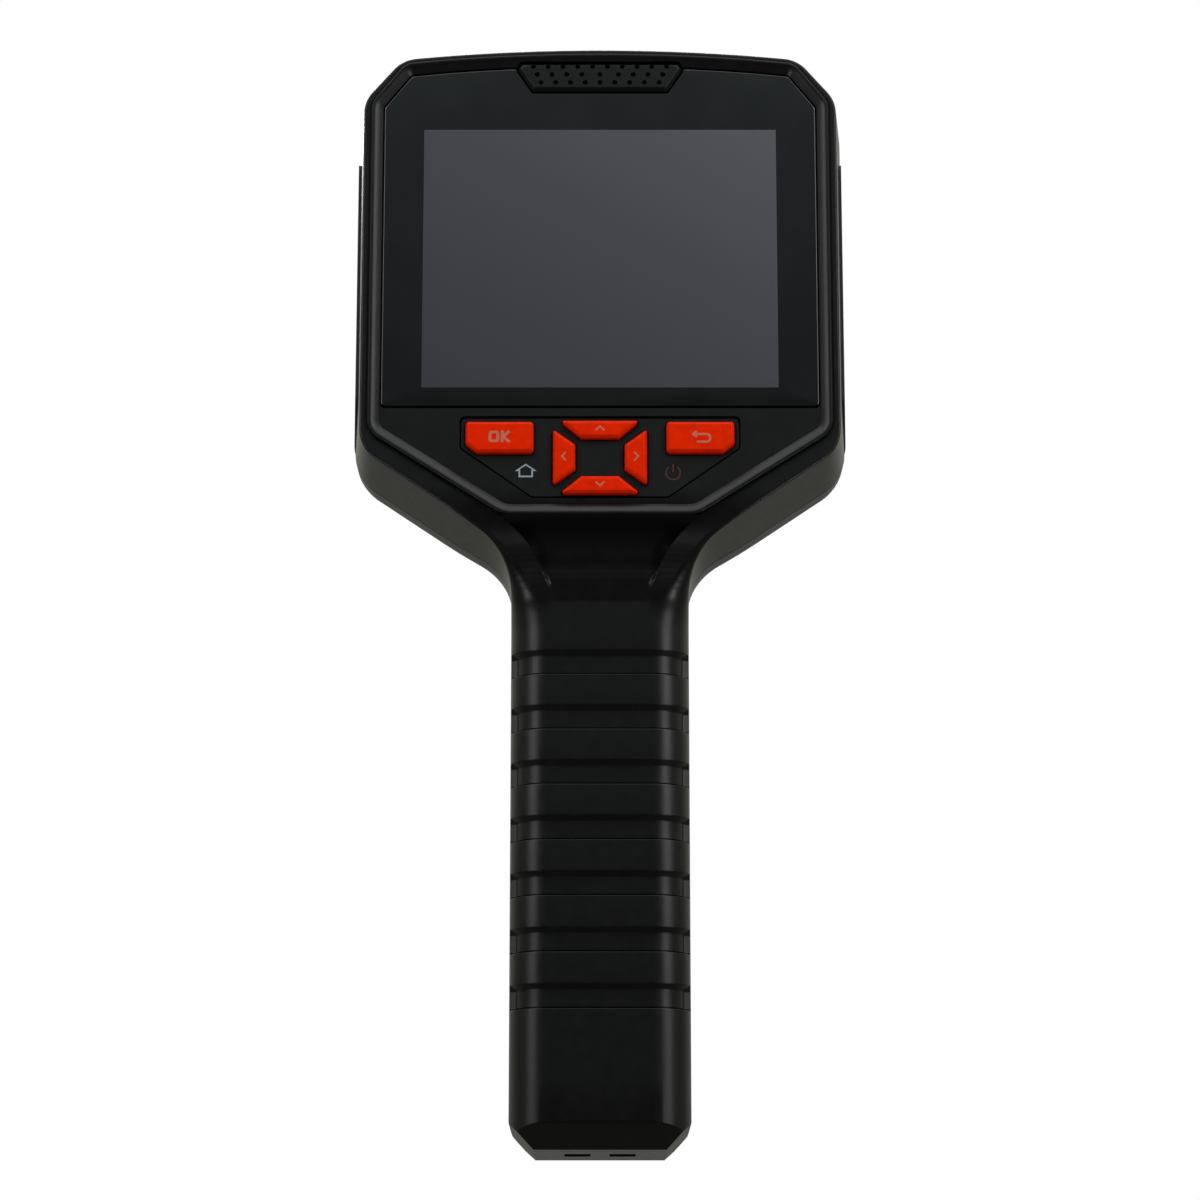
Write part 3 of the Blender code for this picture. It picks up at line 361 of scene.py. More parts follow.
# ---- material helpers ----------------------------------------------------------------------------
class Surface:
    """A Principled material and the few nodes that give it its detail."""

    def __init__(self, name, colour, roughness, metallic=0.0, **sockets):
        self.mat = bpy.data.materials.new(name)
        self.mat.use_nodes = True
        self.tree = self.mat.node_tree
        self.shader = self.tree.nodes["Principled BSDF"]
        self.shader.inputs["Base Color"].default_value = (*colour, 1.0)
        self.shader.inputs["Roughness"].default_value = roughness
        self.shader.inputs["Metallic"].default_value = metallic
        for socket, value in sockets.items():
            self.shader.inputs[socket.replace("_", " ")].default_value = value
        self.colour = colour
        self.roughness = roughness
        self.place = self.tree.nodes.new("ShaderNodeTexCoord").outputs["Object"]

    def link(self, source, target):
        self.tree.links.new(source, target)

    def noise(self, scale, detail=2.0, stretch=None):
        node = self.tree.nodes.new("ShaderNodeTexNoise")
        node.inputs["Scale"].default_value = scale
        node.inputs["Detail"].default_value = detail
        place = self.place
        if stretch:
            mapping = self.tree.nodes.new("ShaderNodeMapping")
            mapping.inputs["Scale"].default_value = stretch
            self.link(place, mapping.inputs["Vector"])
            place = mapping.outputs["Vector"]
        self.link(place, node.inputs["Vector"])
        return node.outputs["Fac"]

    def ranged(self, value, low, high, start=0.3, end=0.7):
        node = self.tree.nodes.new("ShaderNodeMapRange")
        node.inputs["From Min"].default_value = start
        node.inputs["From Max"].default_value = end
        node.inputs["To Min"].default_value = low
        node.inputs["To Max"].default_value = high
        self.link(value, node.inputs["Value"])
        return node.outputs["Result"]

    def ramp(self, value, stops):
        node = self.tree.nodes.new("ShaderNodeValToRGB")
        while len(node.color_ramp.elements) < len(stops):
            node.color_ramp.elements.new(0.5)
        for element, (position, colour) in zip(node.color_ramp.elements, stops):
            element.position = position
            element.color = (*colour, 1.0)
        self.link(value, node.inputs["Fac"])
        return node.outputs["Color"]

    def vary_colour(self, value, spread):
        """Shifts the base colour lighter and darker with a noise."""
        shades = [tuple(c * (1 + s * spread) for c in self.colour) for s in (-1, 1)]
        self.link(
            self.ramp(value, [(0.3, shades[0]), (0.7, shades[1])]),
            self.shader.inputs["Base Color"],
        )

    def vary_roughness(self, value, spread):
        low, high = self.roughness - spread, self.roughness + spread
        self.link(self.ranged(value, low, high), self.shader.inputs["Roughness"])

    def bump(self, value, depth, strength=1.0):
        """Raises the surface by the value times a depth in millimetres."""
        node = self.tree.nodes.new("ShaderNodeBump")
        node.inputs["Distance"].default_value = depth * MM
        node.inputs["Strength"].default_value = strength
        self.link(value, node.inputs["Height"])
        self.link(node.outputs["Normal"], self.shader.inputs["Normal"])


def moulded(name, colour, roughness, grain, depth, spread=0.05, **sockets):
    """Moulded plastic or rubber: an etched grain, and faint cloudy changes of gloss and colour."""
    surface = Surface(name, colour, roughness, **sockets)
    surface.vary_colour(surface.noise(700.0, 5.0), 0.10)
    surface.vary_roughness(surface.noise(420.0, 5.0), spread)
    surface.bump(surface.noise(grain, 3.0), depth)
    return surface.mat


def metal(name, colour, roughness, stretch=None, **sockets):
    """Metal with fine machining lines."""
    surface = Surface(name, colour, roughness, metallic=1.0, **sockets)
    surface.vary_colour(surface.noise(400.0, 3.0), 0.08)
    surface.vary_roughness(surface.noise(900.0, 4.0, stretch), 0.08)
    surface.bump(surface.noise(2500.0, 2.0, stretch), 0.006)
    return surface.mat


def display_surface():
    """The switched-off panel seen through the glass: cool grey, with a painted sheen that makes it lighter at
    the upper right.
    """
    surface = Surface("display", (0.05, 0.052, 0.06), 0.22, Specular_IOR_Level=0.35)
    # Painted sheen: the colour ramp below lightens the panel towards the upper right and darkens it towards
    # the lower left.
    split = surface.tree.nodes.new("ShaderNodeSeparateXYZ")
    surface.link(surface.place, split.inputs["Vector"])
    across = surface.ranged(split.outputs["X"], 0.0, 0.45, -0.033, 0.033)
    up = surface.ranged(split.outputs["Z"], 0.0, 0.55, 0.136, 0.186)
    painted_sheen = surface.tree.nodes.new("ShaderNodeMath")
    surface.link(across, painted_sheen.inputs[0])
    surface.link(up, painted_sheen.inputs[1])
    stops = [
        (0.0, (0.041, 0.042, 0.052)),
        (0.55, (0.060, 0.062, 0.075)),
        (1.0, (0.090, 0.091, 0.100)),
    ]
    surface.link(surface.ramp(painted_sheen.outputs[0], stops), surface.shader.inputs["Base Color"])
    surface.vary_roughness(surface.noise(500.0, 3.0), 0.03)
    surface.bump(surface.noise(7000.0, 1.0), 0.002)
    return surface.mat


def board_surface():
    """Solder mask over copper traces, drawn by a brick pattern."""
    surface = Surface("circuit_board", (0.012, 0.09, 0.035), 0.35)
    brick = surface.tree.nodes.new("ShaderNodeTexBrick")
    brick.inputs["Scale"].default_value = 320.0
    brick.inputs["Mortar Size"].default_value = 0.03
    brick.inputs["Color1"].default_value = (0.012, 0.09, 0.035, 1.0)
    brick.inputs["Color2"].default_value = (0.010, 0.075, 0.03, 1.0)
    brick.inputs["Mortar"].default_value = (0.03, 0.16, 0.06, 1.0)
    surface.link(surface.place, brick.inputs["Vector"])
    surface.link(brick.outputs["Color"], surface.shader.inputs["Base Color"])
    surface.bump(brick.outputs["Fac"], 0.03)
    return surface.mat


def glass_surface(name, colour, roughness):
    surface = Surface(name, colour, roughness, Coat_Weight=0.6, Coat_Roughness=0.08)
    surface.vary_roughness(surface.noise(140.0, 5.0), 0.03)
    surface.bump(surface.noise(30.0, 2.0), 0.01)
    return surface.mat


SHELL = moulded(
    "shell_plastic", (0.0020, 0.0020, 0.0022), 0.35, 5200.0, 0.012, 0.02, Specular_IOR_Level=0.37
)
INSERT = moulded(
    "insert_plastic", (0.0024, 0.0024, 0.0027), 0.38, 4600.0, 0.012, 0.02, Specular_IOR_Level=0.35
)
RUBBER = moulded("rubber", (0.0075, 0.0075, 0.0075), 0.62, 3800.0, 0.03)
ORANGE = moulded(
    "orange_key", (0.70, 0.015, 0.0), 0.42, 6500.0, 0.008, 0.02,
    Specular_IOR_Level=0.4, Specular_Tint=(1.0, 0.22, 0.02, 1.0),
)
GLASS = glass_surface("screen_border", (0.0030, 0.0030, 0.0034), 0.22)
SCREEN = display_surface()
BOARD = board_surface()
STEEL = metal("steel", (0.50, 0.50, 0.51), 0.32)
ALUMINIUM = metal("anodised_ring", (0.10, 0.10, 0.105), 0.35, (1.0, 0.05, 1.0))
GERMANIUM = metal("germanium", (0.30, 0.22, 0.24), 0.10, Coat_Weight=0.8, Coat_Roughness=0.03)
CLEAR = glass_surface("clear_lens", (0.02, 0.021, 0.024), 0.06)
CELL = moulded("battery_wrap", (0.03, 0.11, 0.28), 0.35, 1500.0, 0.01, Coat_Weight=0.3)
RED_WIRE = moulded("red_wire", (0.42, 0.012, 0.01), 0.45, 3000.0, 0.01)
BLACK_WIRE = moulded("black_wire", (0.012, 0.012, 0.012), 0.45, 3000.0, 0.01)
LEGEND = moulded("key_legend", (0.46, 0.12, 0.07), 0.5, 6000.0, 0.004)
HOME_PRINT = moulded("home_print", (0.27, 0.30, 0.34), 0.5, 6000.0, 0.004)
POWER_PRINT = moulded("power_print", (0.055, 0.006, 0.008), 0.5, 6000.0, 0.004)

BY_SLOT = {
    "shell": SHELL,
    "insert": INSERT,
    "rubber": RUBBER,
    "orange_key": ORANGE,
    "screen_glass": GLASS,
    "display": SCREEN,
    "circuit_board": BOARD,
    "steel": STEEL,
    "aluminium": ALUMINIUM,
    "germanium": GERMANIUM,
    "clear_lens": CLEAR,
    "battery_wrap": CELL,
    "red_wire": RED_WIRE,
    "black_wire": BLACK_WIRE,
}


def finish_nodes():
    """Gives every CAD node the finish of its slot."""
    for node in NODES.values():
        for slot in node.material_slots:
            slot.material = BY_SLOT[slot.material.name]


# ---- the paddle outline, which both shells share ----------------------------------------------
TOP_DROP = 1.9  # how far the arched top falls from its middle to its corner
TOP_CORNER_X = 36.6
DIAGONAL = math.radians(34.0)
FLANK_CORNER_Z = 124.6
NECK_RADIUS = 12.0
ROW_STEP = 0.4  # between rows of faces on the neck


def rib_rows():
    """(height, share of the full depth) rows of the recessed bands, from the top down."""
    rows = []
    for k in range(RIB_COUNT):
        top = RIB_TOP - k * RIB_PITCH
        floor, ledge = top - RIB_SLOPE, top - RIB_BAND
        rows += [
            (top + 0.12, 0.0),
            (top - 0.06, 0.10),
            (floor + 0.08, 0.92),
            (floor - 0.10, 1.0),
            (ledge + 0.34, 1.0),
            (ledge + 0.28, 1.5),
            (ledge + 0.02, 1.5),
            (ledge, 0.20),
            (ledge - 0.06, 0.06),
            (ledge - 0.2, 0.0),
        ]
    return rows


RIB_ROWS = rib_rows()


def rib_recess(z):
    for height, share in RIB_ROWS:
        if abs(z - height) < 1e-4:
            return share * RIB_DEPTH
    return 0.0


def divided(points, low, high, step):
    """The chain with extra points where it passes between two heights."""
    result = [points[0]]
    for (x0, z0), (x1, z1) in zip(points, points[1:]):
        count = 1
        if z1 < high and z0 > low:
            count = max(1, math.ceil(abs(z0 - z1) / step))
        for k in range(1, count + 1):
            t = k / count
            result.append((x0 + (x1 - x0) * t, z0 + (z1 - z0) * t))
    return result


def right_half(ribbed):
    """The paddle's right half as (x, z) points from the top down to the end of the grip blank."""
    arch = [
        (x, HEAD_TOP - TOP_DROP * (x / TOP_CORNER_X) ** 2)
        for x in (2.5, 7.5, 12.5, 17.5, 22.5, 27.0, 31.0)
    ]
    knee = FLANK_CORNER_Z - (HEAD_HALF - GRIP_HALF) * math.tan(DIAGONAL)
    corners = [
        (*arch[-1], 0.0),
        (TOP_CORNER_X, HEAD_TOP - TOP_DROP, 6.2),
        (HEAD_HALF, 191.2, 6.2),
        (HEAD_HALF, FLANK_CORNER_Z, 7.0),
        (GRIP_HALF, knee, NECK_RADIUS),
        (GRIP_HALF, RIB_TOP + 3.0, 0.0),
    ]
    half = divided(arch[:-1] + rounded(corners, steps=12), 92.0, 114.0, ROW_STEP)
    if ribbed:
        half += [(GRIP_HALF, z) for z, _ in RIB_ROWS]
    return half + [(GRIP_HALF, 12.0), (GRIP_HALF, 4.0), (GRIP_HALF, GRIP_BLANK)]


def head_share(z):
    """0 on the grip, 1 on the head, turning smoothly across the neck."""
    return smooth_step(z, 98.0, 114.0)


def no_offset(z):
    return 0.0


def flare(z):
    return HEAD_FLARE * head_share(z)


def edge_shares(recess):
    """Shares of the turn round the edge, with a close pair where the recessed bands start."""
    shares = [k / EDGE_STEPS for k in range(EDGE_STEPS + 1)]
    if recess:
        low, high = RIB_END_SHARE - RIB_END_RUN, RIB_END_SHARE + RIB_END_RUN
        shares = [share for share in shares if not low < share < high] + [low, high]
    return sorted(shares)


def half_shell(
    name, facing, parting, edge_out, level, edge_radius,
    inset=0.0, bowed=False, columns=None, recess=None, relief=None, mat=None,
):
    """One side of the paddle as a closed solid.

    facing is -1 for the screen side and +1 for the lens side. The sides rise from parting, a
    (Y, offset function) pair, to an edge that rounds over to the flat at level; where bowed, the
    head draws in on the way. columns gives the X positions that divide the flat at a height,
    relief how far the flat is moved along Y there, and recess how deep the grip's bands are.
    """
    half = right_half(recess is not None)
    closed = mirrored(half)
    count = len(half)
    normals = [Vector(m) - Vector(p) for p, m in zip(closed, offset(closed, 1.0))]
    bm = bmesh.new()

    def ring(out, depth, drawn=0.0):
        loop = []
        for (x, z), normal in zip(closed, normals):
            move = normal * (out(z) - inset)
            share = drawn * NARROWING * head_share(z)
            up = z + move.y
            place = ((x + move.x) * (1 - share), depth(z), up + (NARROW_CENTRE - up) * share)
            loop.append(bm.verts.new(place))
        return loop

    def start(z):
        return BOW_END * head_share(z) if bowed else 0.0

    def edge(share, sunk=no_offset):
        """Offset and depth functions of the rounded edge, at a share of its quarter turn."""

        def angle(z):
            return start(z) + (math.pi / 2 - start(z)) * share

        def out(z):
            a = math.cos(angle(z))
            return edge_out(z) - edge_radius(z) * (1 - a) - sunk(z) * a

        def depth(z):
            a = math.sin(angle(z))
            return level(z) - facing * (edge_radius(z) * (1 - a) + sunk(z) * a)

        return out, depth

    loops = [ring(parting[1], lambda z: parting[0])]
    if bowed:
        foot_out, foot_depth = edge(0.0)
        for k in range(BOW_STEPS):
            t = k / BOW_STEPS

            def out(z, t=t):
                return edge_out(z) + (foot_out(z) - edge_out(z)) * t

            def depth(z, t=t):
                return WIDEST_FRONT + (foot_depth(z) - WIDEST_FRONT) * t

            loops.append(ring(out, depth, t**BOW))
    for share in edge_shares(recess):
        sunk = recess if recess and share > RIB_END_SHARE else no_offset
        loops.append(ring(*edge(share, sunk), 1.0 if bowed else 0.0))
    bridge(bm, loops)

    def fill(loop, divide):
        """Fills a ring row by row, from each point to its mirrored one."""
        rows = []
        for i in range(count):
            right, left = loop[i], loop[2 * count - 1 - i]
            z = right.co.z
            inner = []
            if divide and 0 < i < count - 1:
                side = divide(z, right.co.x)
                for x in [*side, 0.0, *[-x for x in reversed(side)]]:
                    y = right.co.y + (relief(x, z) if relief else 0.0)
                    inner.append(bm.verts.new((x, y, z)))
            rows.append([right, *inner, left])
        for upper, lower in zip(rows, rows[1:]):
            if len(upper) != len(lower):
                bm.faces.new((*upper, *reversed(lower)))
                continue
            for k in range(len(upper) - 1):
                bm.faces.new((upper[k], upper[k + 1], lower[k + 1], lower[k]))

    fill(loops[0], None)
    fill(loops[-1], columns)
    return finish_mesh(name, bm, mat)


def slice_off(obj, point, normal):
    """Slices an object flat: what lies on the normal's side of the plane goes."""
    bm = bmesh.new()
    bm.from_mesh(obj.data)
    bmesh.ops.bisect_plane(
        bm,
        geom=[*bm.verts, *bm.edges, *bm.faces],
        plane_co=Vector(point) * MM,
        plane_no=Vector(normal),
        clear_outer=True,
    )
    rim = [edge for edge in bm.edges if edge.is_boundary]
    bmesh.ops.contextual_create(bm, geom=rim)
    bmesh.ops.recalc_face_normals(bm, faces=bm.faces)
    bm.to_mesh(obj.data)
    bm.free()


BASE_CORNER = 4.4  # 45 degree corners at the foot of the grip
BASE_BEVEL = (7.0, 4.3)  # depth and height of the sloping edge at the foot
BASE_EDGE = 0.12  # small flats that take the sharpness off the foot's edges


def trim_base(obj, facing):
    """Cuts the grip blank to its base plane, its two corners and the slope at its foot."""
    run, rise = BASE_BEVEL
    face = GRIP_REAR if facing < 0 else GRIP_FRONT
    down = Vector((0, 0, -1))
    slope = Vector((0, facing * rise, -run)).normalized()
    slice_off(obj, (0, 0, 0), down)
    slice_off(obj, (0, face, rise), slope)
    inward = facing * BASE_EDGE
    slice_off(obj, (0, face - inward, rise), (slope + Vector((0, facing, 0))).normalized())
    for side in (-1, 1):
        corner = Vector((side, 0, -1)).normalized()
        slice_off(obj, (side * GRIP_HALF, 0, BASE_CORNER), corner)
        beside = Vector((side, 0, 0))
        slice_off(obj, (side * (GRIP_HALF - BASE_EDGE), 0, BASE_CORNER), (corner + beside).normalized())


# ---- how deep the two shells are at each height ------------------------------------------------
CHEEK = [
    (95.0, GRIP_REAR), (98.5, -19.3), (102.0, -20.9), (107.0, -24.0), (112.0, -26.4), (117.0, SHOULDER),
]
VALLEY_FLOOR = [(98.4, GRIP_REAR), (100.6, -20.1), (107.0, -21.7), (109.5, -24.0), (112.3, CREST)]
CREASE_SLOPE = -0.55  # of the hollow's floor where it leaves the grip
CHEEK_LEAN = 0.26  # sideways slope of the cheeks beside the hollow
CHEEK_WIDTH = 3.6
VALLEY_HALF = [(98.4, 8.8), (100.0, 8.9), (103.0, 10.2), (107.0, 12.7), (111.0, 16.6), (116.0, 24.0)]
VALLEY_WALL = [(98.4, 1.2), (101.0, 0.6), (104.0, 0.2), (107.0, 0.12), (111.0, 0.1)]
VALLEY_TOP = 112.2
REAR_EDGE = [(92.0, 6.6), (98.5, 5.0), (101.5, 3.0), (105.0, 1.3), (108.5, 0.55), (113.0, 0.4)]


def rear_level(z):
    return flowing(CHEEK, z)


def rear_edge(z):
    return flowing(REAR_EDGE, z)


def valley_columns(z, half_width):
    """Columns that follow the valley's sides, so that its walls stay crisp."""
    middle, wall = flowing(VALLEY_HALF, z), through(VALLEY_WALL, z)
    fit = min(1.0, 0.94 * half_width / (middle + wall))
    outside = [half_width * 0.97]
    across = [middle + wall * k / 3 for k in (3, 2, 1, 0, -1, -2, -3)]
    inside = [(middle - wall) * share for share in (0.75, 0.5, 0.25)]
    return outside + [x * fit for x in across + inside]


def valley_relief(x, z):
    """How far the hollow below the screen, and the lean of its cheeks, lie from the plain level."""
    if z > VALLEY_TOP:
        return 0.0
    floor = flowing(VALLEY_FLOOR, z, CREASE_SLOPE)
    middle, wall = flowing(VALLEY_HALF, z), through(VALLEY_WALL, z)
    inside = 1.0 - smooth_step(abs(x), middle - wall, middle + wall)
    grown = smooth_step(z, 99.0, 106.0) * (1.0 - smooth_step(z, 107.0, 112.0))
    lean = CHEEK_LEAN * grown * max(0.0, middle + wall + CHEEK_WIDTH - abs(x))
    return (floor - rear_level(z)) * inside - lean * (1.0 - inside)


def inner_rear_level(z):
    return through([(98.0, GRIP_REAR + WALL), (114.0, -23.6)], z)


def inner_rear_edge(z):
    return max(1.0, rear_edge(z) - WALL)


def front_level(z):
    return GRIP_FRONT + (HEAD_FRONT - GRIP_FRONT) * smooth_step(z, 100.0, 116.0)


def front_edge(z):
    return 11.0 + (4.0 - 11.0) * smooth_step(z, 98.0, 112.0)


def front_recess(z):
    """The finger side has the same bands, but none beside the trigger."""
    return rib_recess(z) if z < 66.0 else 0.0


def inner_front_level(z):
    return front_level(z) - through([(100.0, WALL), (116.0, 3.6)], z)


def inner_front_edge(z):
    return front_edge(z) - 2.0


# ---- outlines on the screen side ---------------------------------------------------------------
RIDGE_TOP = HEAD_TOP - 1.1
RIDGE_BOTTOM = 111.9
RIDGE_WIDTH = 2.1
WINDOW_BOTTOM = WINDOW_Z[0] - GAP


def ridge_half():
    """Right half of the raised rim's outer edge around the screen and keys."""
    arch = [
        (x, RIDGE_TOP - TOP_DROP * (x / TOP_CORNER_X) ** 2)
        for x in (2.5, 7.5, 12.5, 17.5, 22.5, 28.0)
    ]
    corners = [
        (*arch[-1], 0.0),
        (36.0, RIDGE_TOP - TOP_DROP, 3.2),
        (42.1, 190.6, 3.2),
        (42.1, 127.5, 4.0),
        (17.6, RIDGE_BOTTOM, 6.0),
        (4.0, RIDGE_BOTTOM, 0.0),
    ]
    return arch[:-1] + rounded(corners, steps=7)


RIDGE = mirrored(ridge_half())


def window_half(gap):
    """Right half of the screen window, which fills the rim's upper part."""
    inner = offset(RIDGE, -RIDGE_WIDTH - gap)
    upper = [p for p in inner[: len(inner) // 2] if p[1] > 150.0]
    side = upper[-1][0]
    corner = rounded(
        [(*upper[-1], 0.0), (side, WINDOW_BOTTOM + gap, 0.9), (4.0, WINDOW_BOTTOM + gap, 0.0)],
        steps=5,
    )
    return upper + corner[1:]


GRILLE = [
    (GRILLE_X[1], 197.0), (14.6, GRILLE_Z[1]), (-14.6, GRILLE_Z[1]),
    (GRILLE_X[0], 197.0), (-12.4, GRILLE_Z[0]), (12.4, GRILLE_Z[0]),
]
GRILLE_CORNER = 0.35
KEYPAD = mirrored(
    rounded(
        [(8.0, 130.5, 0.0), (25.4, 130.5, 1.0), (25.4, 124.4, 1.2), (12.4, 115.2, 1.2), (4.0, 115.2, 0.0)],
        steps=5,
    )
)
KEY_FLANGE = 0.75  # how far a key's foot reaches under the shell
KEY_TOP = limits("key_ok")[1][0]
KEY_SHOULDER = KEY_TOP + 0.6
KEY_MIDDLE_Z = sum(limits("key_left")[2]) / 2


def smoothed(corners, inset=0.0, radius=0.6, steps=4):
    """A closed outline moved inwards, with every corner rounded."""
    moved = offset(corners, -inset)
    radius = max(0.08, radius - inset)
    count = len(moved)
    result = []
    for i in range(count):
        chain = [(*moved[i - 1], 0.0), (*moved[i], radius), (*moved[(i + 1) % count], 0.0)]
        result += rounded(chain, steps)[1:-1]
    return result


def flipped(outline, across_x=False):
    """The outline mirrored left to right, or top to bottom about the pad's middle."""
    if across_x:
        return [(u, 2 * KEY_MIDDLE_Z - v) for u, v in outline]
    return [(-u, v) for u, v in outline]


def corner_key():
    """Corners of the return key, whose outer lower corner is cut off."""
    x, _, z = limits("key_back")
    left, right = x[0] + KEY_FLANGE, x[1] - KEY_FLANGE
    low, high = z[0] + KEY_FLANGE, z[1] - KEY_FLANGE
    return [(right, high), (right, low + 1.6), (right - 2.0, low), (left, low), (left, high)]


CORNER_KEY = corner_key()
UP_KEY = [(7.3, 129.5), (3.4, 126.25), (-3.4, 126.25), (-7.3, 129.5)]
RIGHT_KEY = [(8.5, 127.9), (8.5, 117.5), (4.45, 120.4), (4.45, 125.0)]
KEYS = {
    "ok": (flipped(CORNER_KEY), 0.7),
    "back": (CORNER_KEY, 0.7),
    "up": (UP_KEY, 0.3),
    "down": (flipped(UP_KEY, across_x=True), 0.3),
    "left": (flipped(RIGHT_KEY), 0.3),
    "right": (RIGHT_KEY, 0.3),
}

FRONT_PLATE = mirrored(
    rounded(
        [(8.0, 193.4, 0.0), (30.0, 193.4, 6.0), (30.0, 140.0, 7.0), (22.0, 134.0, 7.0), (8.0, 134.0, 0.0)],
        steps=10,
    )
)

# ---- places that both shells share --------------------------------------------------------------
BOSS_RADIUS = 4.2
WELL_RADIUS = 3.0
SHANK_HOLE = 1.75
SCREW_SEAT = -2.0
PAD_PROFILE = rounded(
    [
        (-8.0, PAD_Z[1], 0.0), (PAD_Y[0], PAD_Z[1], 1.5), (PAD_Y[0], 136.0, 2.0),
        (-9.0, PAD_Z[0], 2.0), (PAD_Y[1], PAD_Z[0], 1.5), (PAD_Y[1], PAD_Z[1], 1.0),
        (-8.0, PAD_Z[1], 0.0),
    ],
    steps=6,
)[:-1]


def screw_places():
    """Middle of every screw, as (x, z)."""
    places = []
    for name in NODES:
        if name.startswith("screw_"):
            x, _, z = limits(name)
            places.append(((x[0] + x[1]) / 2, (z[0] + z[1]) / 2))
    return places


SCREWS = screw_places()


def screw_bores(radius, low, high):
    return [
        cylinder("screw_bore", "Y", (x, (low + high) / 2, z), radius, high - low)
        for x, z in SCREWS
    ]


def pad_recesses():
    grown = offset(PAD_PROFILE, GAP)
    near, far = PAD_X[0] - GAP, PAD_X[1] + 4
    return [
        prism("recess_right", grown, near, far, "X"),
        prism("recess_left", grown, -far, -near, "X"),
    ]


# ---- the shells ---------------------------------------------------------------------------------
PORT_DEPTH = (40.0, 46.0)  # across the side wall, for both port openings


def make_rear_housing():
    shell = half_shell(
        "rear_shell", -1, (PARTING_REAR, flare), no_offset, rear_level, rear_edge,
        columns=valley_columns, recess=rib_recess, relief=valley_relief, mat=SHELL,
    )
    trim_base(shell, -1)
    groove = ring_band(
        "groove", RIDGE, [(-1.0, CREST - 2), (0.42, CREST - 2), (0.42, -26.55), (-1.0, -26.55)]
    )
    cut(groove, box("groove_end", (-17.6, 17.6), (-31.0, -20.0), (108.0, 113.2)))
    cut(shell, groove)
    top = CREST
    run, drop = RIDGE_WIDTH - 0.4, FASCIA - top
    crown = [(-0.4 - run * k / 7, top + drop * (k / 7) ** 1.5) for k in range(8)]
    rim = ring_band(
        "rim", RIDGE,
        [
            (0.0, -26.0), (0.0, top + 0.36), (-0.05, top + 0.16), (-0.18, top + 0.04),
            *crown, (-RIDGE_WIDTH, -26.0),
        ],
    )
    join(shell, rim)
    cavity = half_shell(
        "rear_cavity", -1, (PARTING_REAR + 1.0, flare), no_offset,
        inner_rear_level, inner_rear_edge, inset=WALL,
    )
    slice_off(cavity, (0, 0, CAVITY_FLOOR), (0, 0, -1))
    cut(cavity, *screw_bores(BOSS_RADIUS, -30.0, 0.0))
    usb = limits("usb_socket")
    card = limits("memory_card")
    cut(
        shell,
        cavity,
        *screw_bores(SHANK_HOLE, -17.0, -8.0),
        *pad_recesses(),
        prism("window_pocket", mirrored(window_half(0.0)), -30.0, POCKET),
        box("display_opening", (-33.3, 33.3), (-30.0, -20.0), (134.9, 186.3)),
        prism("grille_pocket", smoothed(GRILLE, -GAP, GRILLE_CORNER), -30.0, -20.0),
        prism("key_plate_pocket", KEYPAD, -30.0, POCKET),
        prism("key_room", offset(KEYPAD, 0.8), POCKET + 0.8, -20.0),
        *[
            prism(f"shell_hole_{name}", smoothed(corners, -GAP, radius), -30.0, -20.0)
            for name, (corners, radius) in KEYS.items()
        ],
        box(
            "usb_port", PORT_DEPTH,
            (usb[1][0] - 0.7, usb[1][1] + 0.3), (usb[2][0] - 0.6, usb[2][1] + 0.6),
        ),
        box(
            "card_port", PORT_DEPTH,
            (card[1][0] - 0.5, card[1][1] + 0.5), (card[2][0] - 0.4, card[2][1] + 0.4),
        ),
    )
    piece(weigh(shell), "body", "rear_housing", slot="shell")


def make_seam_lip():
    """A thin lip inside the seam, which hides the electronics behind the gap."""
    outline = mirrored(right_half(False))
    outline = [p for p in outline if p[1] > 2.0]
    lip = ring_band(
        "seam_lip", outline,
        [
            (-1.3, PARTING_REAR - 1.5), (-1.3, PARTING_FRONT + 1.5),
            (-2.1, PARTING_FRONT + 1.5), (-2.1, PARTING_REAR - 1.5),
        ],
        SHELL,
    )
    piece(lip, "body", "rear_housing", slot="shell")


